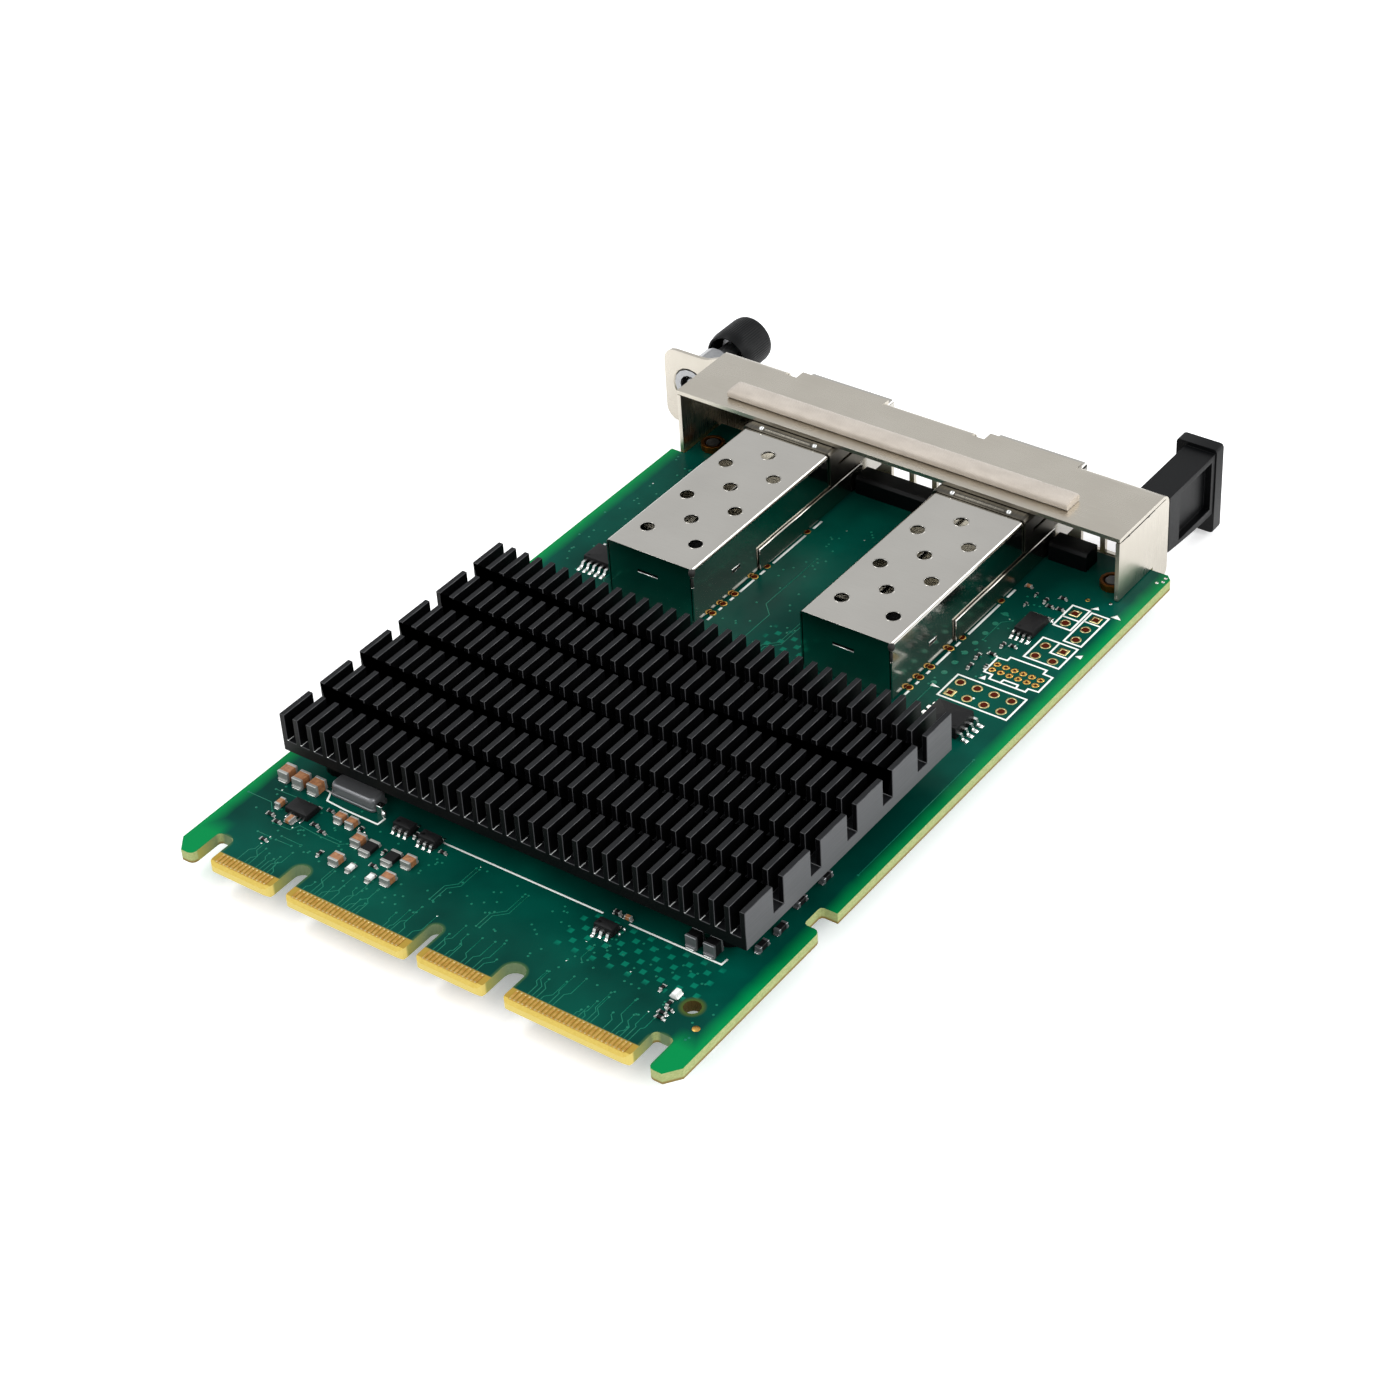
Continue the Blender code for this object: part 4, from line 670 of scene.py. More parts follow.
PIN_ONE_MARKS = (
    ((23.38, 76.02), (23.37, 76.65), (24.64, 76.32)),
    ((27.78, 80.65), (28.32, 81.62), (28.68, 80.73)),
    ((35.85, 91.1), (36.69, 91.78), (36.83, 90.89)),
    ((32.35, 101.16), (32.99, 102.06), (33.42, 101.48)),
    ((35.48, 100.9), (36.04, 101.75), (36.96, 100.98)),
    ((29.2, 96.0), (29.5, 96.4), (29.75, 95.85)),
)
# Start and end, along Y, of the dashes printed beside each cage, and their distance from its middle
CAGE_DASHES = ((72.7, 73.7), (75.3, 76.0), (77.9, 78.7), (80.2, 83.5), (84.9, 86.0), (88.0, 95.8),
               (97.7, 99.8))
DASH_OFFSET = 7.55


def silk_screen():
    """The white printed lines and marks: outlines round parts, headers and cages."""
    lines = [
        (rectangle(25.15, 74.97, 35.37, 79.95), True),
        ([(27.56, 85.7), (28.95, 85.8), (28.98, 86.6), (34.37, 86.6), (34.39, 85.7),
          (35.79, 85.65), (35.81, 82.1), (34.36, 82.0), (34.36, 81.25), (29.0, 81.25),
          (28.9, 82.2), (27.65, 82.2)], True),
        ([(30.65, 81.35), (30.75, 82.0), (32.85, 82.0), (32.95, 81.35)], False),
        (rectangle(30.27, 87.66, 35.45, 92.55), True),
        ([(32.75, 92.45), (32.75, 90.12), (35.4, 90.12)], False),
        (rectangle(29.92, 95.65, 32.5, 100.7), True),
        ([(29.95, 97.95), (32.45, 97.95)], False),
        (rectangle(32.92, 93.26, 35.5, 100.47), True),
        ([(32.95, 98.35), (35.45, 98.35)], False),
        ([(-29.13, 18.42), (-28.07, 18.26), (-27.4, 16.82), (-24.35, 16.62), (-19.03, 16.62),
          (-18.92, 18.0)], False),
        ([(-9.9, 18.22), (14.56, 18.27)], False),
        ([(18.36, 18.31), (31.62, 18.37), (31.67, 19.5)], False),
    ]
    skins = [stroke(path, INK_WIDTH, INK, closed) for path, closed in lines]
    for centre in PORT_CENTRES:
        for x in (centre - DASH_OFFSET, centre + DASH_OFFSET):
            skins += [stroke([(x, start), (x, end)], DASH_WIDTH, INK) for start, end in CAGE_DASHES]
    skins += [prism(corners, INK) for corners in PIN_ONE_MARKS]
    skins.append(repeat(disc(0.2, INK), [(29.5, 76.65, 0.0)]))
    make("printed_lines", [(gather(skins), look_silk)])


# X, Y and whether the pad is square; below them the fine pads and the cages' pins along Y
HEADER_PADS = (
    (26.3, 76.17, True), (26.3, 78.67, False), (28.83, 76.17, False), (28.83, 78.67, False),
    (31.34, 76.17, False), (31.34, 78.67, False), (33.9, 76.17, False), (33.9, 78.67, False),
    (31.45, 91.12, False), (34.1, 91.15, True), (31.44, 88.6, False), (33.98, 88.65, False),
    (31.1, 99.28, True), (31.08, 96.77, False), (34.14, 99.35, True), (34.08, 96.82, False),
    (34.13, 94.28, False),
)
FINE_PADS = [(x, y, 0.0) for x in np.linspace(28.3, 34.75, 6) for y in (83.12, 84.4)]
CAGE_PINS = (74.33, 76.84, 79.46, 84.13, 86.99, 96.65)
CAGE_PIN_OFFSET = 7.2
# Outer and inner radius of a pad's ring, and radius of the bore in it
HEADER_RADII = (0.74, 0.5, 0.52)
FINE_RADII = (0.52, 0.19, 0.21)
CAGE_PIN_RADII = (0.58, 0.4, 0.42)


def square_ring(half, inner, height):
    """A square pad with a round hole: the inner ring lies on the same rays as the outer one."""
    outer = rounded_ring(half, half, 0.12, 5)
    hole = outer / np.linalg.norm(outer, axis=1, keepdims=True) * inner
    return loft([at_height(outer, 0.0), at_height(outer, height), at_height(hole, height),
                 at_height(hole, 0.0)], closed=True)


def header_pads():
    """Gold rings of the unfitted headers' plated holes on both faces, with the bores in shade,
    and the rings and bores of the cages' press-fit pins."""
    rings, small, bores = [], [], []
    for z in (0.0, -BOARD_TOP - PAD_HEIGHT):
        square = [(x, y, z) for x, y, flag in HEADER_PADS if flag]
        plain = [(x, y, z) for x, y, flag in HEADER_PADS if not flag]
        fine = np.array(FINE_PADS) + (0.0, 0.0, z)
        rings += [repeat(square_ring(0.7, 0.5, PAD_HEIGHT), square),
                  repeat(washer(*HEADER_RADII[:2], PAD_HEIGHT), plain)]
        small.append(repeat(washer(*FINE_RADII[:2], PAD_HEIGHT), fine))
        lift = (0.0, 0.0, PAD_HEIGHT * 0.25)
        bores += [repeat(disc(HEADER_RADII[2], PAD_HEIGHT / 2), np.array(square + plain) + lift),
                  repeat(disc(FINE_RADII[2], PAD_HEIGHT / 2), fine + lift)]
    make("header_pads", [(gather(rings), look_ring), (gather(small), look_gold),
                         (gather(bores), look_bore)])
    places = [(centre + side * CAGE_PIN_OFFSET, y, 0.0) for centre in PORT_CENTRES
              for side in (-1, 1) for y in CAGE_PINS]
    make("cage_pin_holes",
         [(repeat(washer(*CAGE_PIN_RADII[:2], PAD_HEIGHT), places), look_gold),
          (repeat(disc(CAGE_PIN_RADII[2], PAD_HEIGHT / 2), places), look_bore)])
    marks = [repeat(disc(0.5, PAD_HEIGHT), [(35.45, 8.02, 0.0)]),
             repeat(washer(0.35, 0.16, PAD_HEIGHT), [(31.0, 102.7, 0.0)])]
    make("fiducial_marks", [(gather(marks), look_gold)])
    spots = [(36.8, 110.8, 0.0), (37.4, 111.4, 0.0), (37.3, 112.3, 0.0), (34.0, 103.5, 0.0)]
    make("solder_spots", [(repeat(disc(0.24, 0.06), spots), look_solder)])


# Traces to the contacts, and longer ones between parts
TRACE_WIDTH = 0.11
BUS_WIDTH = 0.12
# Share of the contacts whose trace shows, and the longer traces' paths
TRACED_SHARE = 0.62
BUS_PATHS = (
    ((-34.4, 15.13), (-29.27, 15.39)),
    ((-30.25, 9.94), (-27.56, 10.03), (-27.06, 11.3), (-23.41, 11.05), (-20.52, 11.12),
     (-19.73, 11.78)),
    ((-23.7, 11.65), (-20.72, 11.62)),
    ((-30.78, 7.69), (-28.72, 7.71)),
    ((-27.63, 8.56), (-24.4, 8.53)),
    ((-27.77, 7.68), (-25.34, 7.78)),
    ((-37.0, 12.9), (-33.2, 12.9), (-31.9, 11.6)),
    ((-4.6, 9.2), (-4.6, 12.0), (-3.4, 13.2), (-3.4, 16.6)),
    ((-4.1, 9.2), (-4.1, 11.8), (-2.9, 13.0), (-2.9, 16.6)),
    ((3.2, 8.4), (3.2, 11.0), (4.6, 12.4), (4.6, 16.0)),
    ((3.7, 8.4), (3.7, 10.8), (5.1, 12.2), (5.1, 16.0)),
    ((17.1, 13.2), (17.1, 10.6), (17.7, 10.0)),
    ((23.6, 76.0), (23.6, 69.5)),
    ((0.0, 66.0), (0.0, 72.0), (1.6, 73.6), (1.6, 84.0)),
    ((0.5, 66.0), (0.5, 71.8), (2.1, 73.4), (2.1, 84.0)),
    ((-3.0, 66.0), (-3.0, 78.0), (-4.8, 79.8), (-4.8, 92.0)),
    ((-25.8, 66.0), (-25.8, 72.0), (-26.8, 73.0), (-26.8, 90.0)),
    ((23.9, 88.0), (23.9, 92.5), (25.0, 93.6)),
    ((36.2, 40.0), (36.2, 66.0)),
)
# Areas with scattered vias: x0, x1, y0, y1 and how many
VIA_AREAS = ((-36, 36, 5.5, 17.5, 150), (-8, 6, 63.5, 103, 60), (22.5, 29, 64, 101, 45),
             (-36.5, -25, 64, 103, 50))
# No via lies closer than this to a key slot
SLOT_MARGIN = 0.8


def traces():
    """Fine copper under the mask: it shows as slightly raised, lighter lines that leave the
    fingers straight, jog at 45 degrees and end in a covered via. Their heights differ a little,
    so that no two lie in one plane where they cross."""
    rng = np.random.default_rng(7)
    skins, ends = [], []
    for index, count in enumerate(CONTACT_COUNTS):
        centre = (KEY_SLOTS[index][1] + KEY_SLOTS[index + 1][0]) / 2
        picked = rng.choice(count, int(count * TRACED_SHARE), replace=False)
        for finger in np.sort(picked):
            x = centre + (finger - (count - 1) / 2) * CONTACT_PITCH
            straight = 2.3 + rng.uniform(0.6, 2.6)
            jog = rng.choice((-1, 1)) * rng.uniform(0.2, 0.9)
            top = straight + abs(jog) + rng.uniform(0.3, 3.2)
            skins.append(stroke([(x, 2.25), (x, straight), (x + jog, straight + abs(jog)),
                                 (x + jog, top)], TRACE_WIDTH, 0.006 + 0.0006 * (finger % 7)))
            ends.append((x + jog, top, 0.0))
    skins += [stroke(path, BUS_WIDTH, 0.011) for path in BUS_PATHS]
    ends += [(*path[end], 0.0) for end in (0, -1) for path in BUS_PATHS]
    vias = np.vstack([ends] + [
        np.column_stack([rng.uniform(x0, x1, count), rng.uniform(y0, y1, count), np.zeros(count)])
        for x0, x1, y0, y1, count in VIA_AREAS])
    clear = np.ones(len(vias), bool)
    for left, right, depth in KEY_SLOTS:
        clear &= ~((vias[:, 0] > left - SLOT_MARGIN) & (vias[:, 0] < right + SLOT_MARGIN)
                   & (vias[:, 1] < depth + SLOT_MARGIN))
    skins.append(repeat(disc(0.17, 0.012, 10), vias[clear]))
    row = [(23.4, y, 0.0) for y in np.linspace(76.9, 94.4, 8)]
    skins += [repeat(disc(0.42, 0.004, 20), row), repeat(disc(0.26, 0.008, 16), row)]
    make("covered_traces", [(gather(skins), look_trace)])
    shine = vias[clear][::24] + (0.0, 0.0, 0.01)
    make("open_test_vias", [(repeat(disc(0.12, 0.01, 8), shine), look_solder)])


# Soldered parts

# Two-ended parts stand this high over their pads
STAND_OFF = 0.04


def chip_parts(entries):
    """Skins of two-ended parts. Each entry is X, Y, length, width, height, direction of the
    length. The ends wrap the body by a fifth and stand on small sloped fillets of solder."""
    bodies, caps, feet = [], [], []
    for x, y, length, width, height, along_x in entries:
        turn = [0, 1, 2] if along_x else [1, 0, 2]
        end = min(length * 0.22, 0.45)
        edge = min(0.06, height * 0.15)
        body = np.array((length - 0.06, width - 0.05, height - 0.04))[turn]
        bodies.append(((x, y, STAND_OFF + 0.02), body, edge))
        # Cap, fillet and foot: distance from the middle, height of the foot, size, rounding
        for group, reach, z, size, rounding in (
                (caps, (length - end) / 2, STAND_OFF, (end, width, height), edge),
                (caps, length / 2 + 0.03, 0.0, (0.26, width * 0.9, height * 0.3), 0.03),
                (feet, length / 2 + 0.12, 0.0, (0.26, width * 0.7, height * 0.14), 0.015)):
            for side in (-1, 1):
                shift = np.array((side * reach, 0.0, 0.0))[turn]
                group.append(((x, y, z) + shift, np.array(size)[turn], rounding))
    return [gather([blocks([size], [centre], edge) for centre, size, edge in group])
            for group in (bodies, caps, feet)]


# X, Y, length, width, height, whether the length runs along X
TAN_CHIPS = (
    (-31.7, 13.04, 1.4, 0.85, 0.8, False), (-23.35, 14.8, 1.45, 1.3, 0.9, False),
    (-21.5, 14.75, 1.45, 1.3, 0.9, False), (-18.55, 12.6, 1.75, 1.5, 1.0, False),
    (-18.55, 8.45, 1.65, 1.5, 1.0, False), (-10.7, 12.76, 1.65, 1.5, 1.0, False),
    (-10.84, 8.98, 1.65, 1.5, 1.0, False), (-28.6, 11.3, 0.9, 1.3, 0.6, True),
)
DARK_CHIPS = (
    (-16.6, 12.3, 2.5, 1.6, 0.65, False), (-13.1, 12.3, 2.5, 1.6, 0.65, False),
    (-25.41, 12.22, 1.0, 0.5, 0.35, True), (-29.87, 10.24, 1.0, 0.5, 0.35, True),
    (-31.55, 10.94, 1.0, 0.5, 0.35, True), (-27.03, 14.74, 0.9, 0.45, 0.35, False),
    (-23.77, 11.66, 0.9, 0.45, 0.35, True), (-25.51, 15.37, 0.9, 0.45, 0.35, True),
    (-20.0, 14.6, 0.9, 0.45, 0.35, False), (-14.23, 10.13, 0.9, 0.45, 0.35, True),
    (-14.79, 12.89, 0.7, 0.45, 0.3, False), (-29.0, 6.8, 0.9, 0.45, 0.3, True),
    (-21.33, 8.46, 0.9, 0.45, 0.3, False), (-13.4, 17.4, 0.9, 0.5, 0.4, False),
    (-8.6, 16.6, 0.9, 0.45, 0.35, True), (28.27, 11.4, 0.9, 0.45, 0.35, False),
    (30.5, 9.64, 1.0, 0.45, 0.35, False), (31.24, 8.83, 0.6, 0.4, 0.3, True),
    (30.95, 7.2, 1.0, 0.45, 0.35, True), (30.75, 8.0, 1.1, 0.45, 0.35, True),
    (16.2, 18.95, 0.9, 0.6, 0.6, True),
    (26.81, 88.2, 0.9, 0.45, 0.35, False), (28.08, 88.6, 0.8, 0.45, 0.35, True),
    (26.67, 85.78, 1.0, 0.45, 0.35, True), (25.32, 84.45, 1.1, 0.45, 0.35, False),
    (25.58, 82.1, 1.1, 0.45, 0.35, False), (27.39, 83.14, 0.6, 0.4, 0.3, False),
    (24.57, 97.59, 0.6, 0.3, 0.25, False), (24.66, 100.19, 0.6, 0.3, 0.25, False),
    (26.48, 99.6, 0.9, 0.45, 0.35, False), (27.6, 98.7, 0.9, 0.45, 0.35, True),
    (29.1, 98.8, 0.9, 0.45, 0.35, True), (28.18, 101.16, 0.9, 0.45, 0.35, True),
)
BROWN_CHIPS = ((17.8, 18.9, 0.9, 0.6, 0.6, True), (22.9, 101.2, 0.9, 0.5, 0.4, True))
WHITE_CHIPS = ((-16.21, 8.3, 1.35, 0.8, 0.5, False), (-12.98, 8.17, 1.35, 0.8, 0.5, False))
# Blobs of solder that stand on bare pads: X, Y, radius, height
SOLDER_BLOBS = (
    (-19.3, 18.2, 0.42, 0.9), (15.9, 14.3, 0.3, 0.25), (18.47, 16.2, 0.24, 0.3),
    (18.47, 17.2, 0.24, 0.3), (-20.4, 14.73, 0.18, 0.2), (-19.28, 14.47, 0.18, 0.2),
    (31.41, 7.13, 0.16, 0.15), (30.47, 7.27, 0.16, 0.15), (30.19, 8.16, 0.16, 0.15),
    (31.3, 7.8, 0.16, 0.15), (27.4, 83.6, 0.14, 0.14), (29.6, 99.0, 0.16, 0.16),
)


def small_parts():
    """The loose rows of small two-ended parts, and the ones that stand for CAD solids."""
    for name, entries, look, slot in (
            ("tan_chip_parts", TAN_CHIPS, look_ceramic, "ceramic"),
            ("brown_chip_parts", BROWN_CHIPS, look_ceramic, "ceramic"),
            ("dark_chip_parts", DARK_CHIPS, look_package, "package_black"),
            ("white_chip_parts", WHITE_CHIPS, look_white, "led_white")):
        bodies, caps, feet = chip_parts(entries)
        make(name, [(bodies, look), (caps, look_tinned_end), (feet, look_solder)],
             smooth=30)
    drop = [(1.0, 0.0), (0.9, 0.45), (0.62, 0.82), (0.25, 0.98)]
    blobs = [repeat(loft(turned([(radius * r, height * z) for r, z in drop], 12)), [(x, y, 0.0)])
             for x, y, radius, height in SOLDER_BLOBS]
    make("solder_blobs", [(gather(blobs), look_solder)], smooth=60)
    for name in sorted(nodes):
        if not name.startswith(("capacitor_", "edge_capacitor_")):
            continue
        low, high = card_box(name)
        size = high - low
        centre = (low + high) / 2
        entry = (centre[0], centre[1], size[1] - 0.02, size[0] - 0.02, high[2] - 0.04, False)
        bodies, caps, feet = chip_parts([entry])
        # Parts on the right half get a black body and grey ends; beside the heat sink this darkness
        # is painted shade from the sink
        dark = low[0] > 0
        make("fine_" + name, [(bodies, look_package if dark else look_ceramic),
                              (caps, look_can if dark else look_tinned_end), (feet, look_solder)],
             smooth=30, stands_for=(name,))


def leaded_chip(node, leads, pitch, width, body_width, across=False):
    """A moulded package with gull-wing leads: each lead is a flat section carried along a path
    that leaves the body level, bends down and lies flat on its pad. The package is made with its
    length along X, and across turns it by a quarter, (x, y) to (-y, x)."""
    low, high = card_box(node)
    centre = (low + high) / 2
    size = high - low
    length, span = (size[1], size[0]) if across else (size[0], size[1])
    height = high[2]
    half = body_width / 2
    body = repeat(soft_block(length, body_width, height - 0.1, 0.12, 3, 0.08),
                  [(0.0, 0.0, 0.1)])
    dimple = repeat(disc(0.25, 0.012), [(0.6 - length / 2, 0.6 - half, height)])
    level = height * 0.5
    thick = 0.075
    x = (np.arange(leads) - (leads - 1) / 2) * pitch
    zero = np.zeros(leads)
    skins = []
    for side in (-1, 1):
        reach = span / 2
        knee = half + (reach - half) * 0.4
        path = [(0, side * (half - 0.1), level), (0, side * knee, level),
                (0, side * (knee + 0.14), level * 0.55), (0, side * (knee + 0.2), 0.16),
                (0, side * (knee + 0.32), 0.09), (0, side * reach, 0.09)]
        profile = rectangle(-thick, -width / 2, thick, width / 2)
        skins.append(repeat(carry(path, profile, (1, 0, 0)), np.column_stack([x, zero, zero])))
        skins.append(blocks(np.tile((width * 1.3, 0.9, 0.05), (leads, 1)),
                            np.column_stack([x, zero + side * (reach - 0.25), zero]), 0.02))

    def placed(skin):
        points, quads, tris = skin
        if across:
            points = points[:, [1, 0, 2]] * (-1, 1, 1)
        return points + (centre[0], centre[1], 0.0), quads, tris

    make("leaded_" + node, [(placed(body), look_package), (placed(dimple), look_black),
                            (placed(gather(skins)), look_solder)], smooth=30,
         stands_for=(node,))


def leaded_chips():
    """The packages with leads on two sides, and the flat one whose leads end at its edge."""
    leaded_chip("flash_chip", 4, 0.8, 0.34, 4.3)
    leaded_chip("clock_buffer_chip", 5, 0.95, 0.36, 3.6)
    leaded_chip("monitor_chip", 4, 1.2, 0.42, 5.3, True)
    for node in ("regulator_1", "regulator_2", "load_switch"):
        leaded_chip(node, 3, 0.95, 0.38, 1.6)
    low, high = card_box("power_driver_chip")
    centre = (low + high) / 2
    width, depth = (high - low)[:2]
    body = repeat(soft_block(width, depth - 0.3, high[2] - 0.06, 0.1, 3, 0.05),
                  [(centre[0], centre[1], 0.06)])
    pitch = 0.58
    leads = blocks([(0.26, 0.8, 0.14)] * 10,
                   [(centre[0] + (i - 2) * pitch, centre[1] + side * (depth / 2 + 0.12), 0.0)
                    for i in range(5) for side in (-1, 1)], 0.04)
    make("driver_package", [(body, look_package), (leads, look_solder)],
         smooth=30, stands_for=("power_driver_chip",))


def crystal():
    """The crystal's drawn can: an oval foot with a flange, a straight wall and a rounded lid
    with a shallow rim."""
    low, high = card_box("crystal_can")
    centre = (low + high) / 2
    half_x, half_y = (high - low)[:2] / 2
    top = high[2]
    levels = [(0.0, 0.1), (0.0, 0.35), (0.12, 0.42), (0.16, top - 0.4), (0.24, top - 0.14),
              (0.38, top - 0.02), (0.5, top), (0.62, top - 0.05)]
    rings = [at_height(rounded_ring(half_x - gap, half_y - gap, half_y * 0.45, 6), z)
             for gap, z in levels]
    can = repeat(loft(rings), [(centre[0], centre[1], 0.0)])
    tabs = blocks([(0.9, 0.9, 1.3), (0.9, 0.9, 0.16)],
                  [(high[0] + 0.62, centre[1] - 0.7, 0.0), (low[0] - 0.2, centre[1], 0.0)], 0.04)
    make("crystal_drawn_can", [(can, look_can), (tabs, look_solder)], smooth=40,
         stands_for=("crystal_can",))


def lamp():
    """The white lamp: a ceramic tray with two tinned ends and a milky lens block."""
    low, high = card_box("status_led")
    centre = (low + high) / 2
    width, depth = (high - low)[:2]
    tray = repeat(soft_block(width - 0.1, depth - 0.1, 0.35, 0.04), [(centre[0], centre[1], 0.06)])
    lens = repeat(soft_block(width * 0.65, depth, high[2] - 0.42, 0.08, 3, 0.08),
                  [(centre[0], centre[1], 0.4)])
    ends = blocks([(0.2, depth - 0.1, 0.3)] * 2, [
        (centre[0] + side * (width / 2 - 0.1), centre[1], 0.0) for side in (-1, 1)], 0.03)
    make("status_lamp", [(tray, look_white), (lens, look_white), (ends, look_solder)],
         smooth=30, stands_for=("status_led",))


def collar_bars():
    """The bead pressed into each collar's front band: half a round bar along X whose radius
    falls to nothing at both ends as the square root of the distance left."""
    half, run_out, half_depth, rise = 4.3, 0.5, 0.4, 0.3
    x = np.linspace(-half, half, 61)
    share = np.sqrt(np.clip((half - np.abs(x)) / run_out, 0.0, 1.0))[:, None]
    angle = np.linspace(0.0, np.pi, 9)
    bead = loft(np.stack([np.broadcast_to(x[:, None], (61, 9)),
                          half_depth * share * np.cos(angle), rise * share * np.sin(angle)], -1))
    # Painted highlights: a bright solder-finished dome at each end of the bead stands for the
    # glints there
    end_highlight_dome = loft(turned([(0.42, 0.0), (0.39, 0.16), (0.28, 0.3), (0.1, 0.37)], 16))
    for index in (1, 2):
        low, high = card_box(f"emi_collar_{index}")
        middle = (low[0] + high[0]) / 2
        y, z = low[1] + 0.5, high[2] - 0.02
        make(f"collar_bead_{index}",
             [(repeat(bead, [(middle, y, z)]), look_shaded_spring),
              (repeat(end_highlight_dome, [(middle + side * (half + 0.1), y, z) for side in (-1, 1)]),
               look_solder)],
             smooth=60)


# The bracket's right flange: its face, and the seam's and the two notches' places along Y
FLANGE_FACE = 34.66
SEAM_Y = 109.3
NOTCHES_Y = (106.8, 112.0)
# The cages' vents: first row behind the cover's front, pitch, reach to each side, rim
VENT_START = 5.1
VENT_PITCH = 4.5
VENT_REACH = 3.95
VENT_RIM = (1.12, 0.985, 0.012)
# The sink's gaps between fins, the outer fin's width, and where its channels' floor lies
SINK_GAPS = 32
FIN_WIDTH = 0.75
CHANNEL_FLOOR = 5.38


def sheet_details():
    """Fold seam of the right flange with its two relief notches, the relief slit and clasps of each
    cage, bright lips at its slots as painted highlights, the rolled rims of its vents, and bright
    strips at the feet of the front fins as painted highlights."""
    top = card_box("bracket")[1][2]
    seam = blocks([(0.02, 8.6, 0.1), (0.03, 0.45, 0.3), (0.03, 0.45, 0.3)],
                  [(FLANGE_FACE, SEAM_Y, top - 0.78)]
                  + [(FLANGE_FACE, y, top - 0.88) for y in NOTCHES_Y], 0.008)
    make("flange_seam", [(seam, look_shade)])
    slit = loft(turned([(0.1, -1.2), (0.38, -1.0), (0.48, -0.6), (0.38, -0.2), (0.1, -0.06)], 20))
    joint = loft(turned([(0.06, -2.9), (0.17, -2.8), (0.17, -1.4), (0.06, -1.3)], 12))
    clasp = loft(turned([(0.12, -0.08), (0.2, -0.04), (0.2, 0.04), (0.12, 0.08)], 12))
    for index in (1, 2):
        low, high = card_box(f"cage_cover_{index}")
        middle = (low[0] + high[0]) / 2
        corner = np.array((high[0] - 0.12, low[1] + 0.12, high[2]))
        # Painted highlights: bright strips at the front slot and the side slot stand for the lit
        # edges there
        slot_highlights = blocks([(3.2, 0.14, 0.24), (0.14, 1.8, 0.14)],
                      [(middle - 0.4, low[1], 5.3), (high[0], low[1] + 9.55, 3.68)], 0.03)
        make(f"cage_relief_{index}",
             [(gather([repeat(slit, [corner]), repeat(joint, [corner])]), look_shade),
              (repeat(clasp, [corner - (0.0, 0.0, 1.32), corner - (0.0, 0.0, 3.0)]), look_tin),
              (slot_highlights, look_solder)], smooth=50)
        vents = [(middle + x, low[1] + VENT_START + row * VENT_PITCH, high[2]) for row in range(6)
                 for x in ((0.0,) if row % 2 else (-VENT_REACH, VENT_REACH))]
        make(f"vent_rims_{index}", [(repeat(washer(*VENT_RIM, 40), vents), look_tin)])
    low, high = card_box("heat_sink")
    pitch = (high[0] - low[0] - FIN_WIDTH) / SINK_GAPS
    # Painted highlights: bright strips at the foot of each front fin stand for the glints on the
    # channel edges
    glint_strips = blocks([(0.26, 1.1, 0.12)] * SINK_GAPS,
                   [(high[0] - gap * pitch + 0.07, low[1] + 0.57, CHANNEL_FLOOR)
                    for gap in range(1, SINK_GAPS + 1)], 0.02)
    make("fin_foot_glints", [(glint_strips, look_solder)])


# Contacts, gasket and knob

def finger_rows(node, count):
    """X of each finger of one tongue's contacts."""
    low, high = card_box(node)
    return np.linspace(low[0] + CONTACT_WIDTH / 2, high[0] - CONTACT_WIDTH / 2, count)


def lower_contacts():
    """The fingers under the tongues: flat gold bars with round ends, as many as on top."""
    for index, count in enumerate(CONTACT_COUNTS):
        node = f"edge_contacts_bottom_{index + 1}"
        low, high = card_box(node)
        size = (CONTACT_WIDTH, high[1] - low[1], 0.06)
        middle = (low[1] + high[1]) / 2
        fingers = blocks([size] * count, [(x, middle, low[2]) for x in finger_rows(node, count)],
                         0.02)
        make(f"lower_fingers_{index + 1}", [(fingers, look_gold)],
             stands_for=(node,))


def gasket():
    """The foam gasket in cloth: a low round-shouldered section with its foot drawn in, carried
    along X, whose height swells and dips by hundredths of a millimetre."""
    low, high = card_box("emi_gasket")
    count, sides = 180, 17
    x = np.linspace(low[0], high[0], count)
    depth, height = (high - low)[1:]
    # How far, in radians, the section turns on below its widest level
    tuck = 0.75
    angle = np.linspace(-tuck, np.pi + tuck, sides)
    across = depth / 2 * (1 - np.sign(np.cos(angle)) * np.abs(np.cos(angle)) ** 0.6)
    foot = np.sqrt(np.sin(tuck))
    lift = height * (np.sign(np.sin(angle)) * np.sqrt(np.abs(np.sin(angle))) + foot) / (1 + foot)
    swell = 1 - 0.03 * (1 + np.sin(x * 1.9) * np.sin(x * 0.37 + 1.0)) / 2
    swell *= np.clip(np.minimum(x - low[0], high[0] - x) / 0.25, 0.0, 1.0) * 0.12 + 0.88
    rings = np.stack([np.broadcast_to(x[:, None], (count, sides)),
                      low[1] + np.broadcast_to(across, (count, sides)),
                      low[2] + lift[None] * swell[:, None]], -1)
    cloth = make("cloth_gasket", [(loft(rings), look_cloth)], smooth=50,
                 stands_for=("emi_gasket",))


def finger_marks():
    """Bright probe marks on the fingers: a low round dot near each end of each finger."""
    dots = []
    for index, count in enumerate(CONTACT_COUNTS):
        node = f"edge_contacts_top_{index + 1}"
        top = card_box(node)[1][2]
        dots += [(x, y, top) for y in (0.6, 2.0) for x in finger_rows(node, count)]
    make("probe_marks", [(repeat(disc(0.12, 0.008, 8), dots), look_ring)])


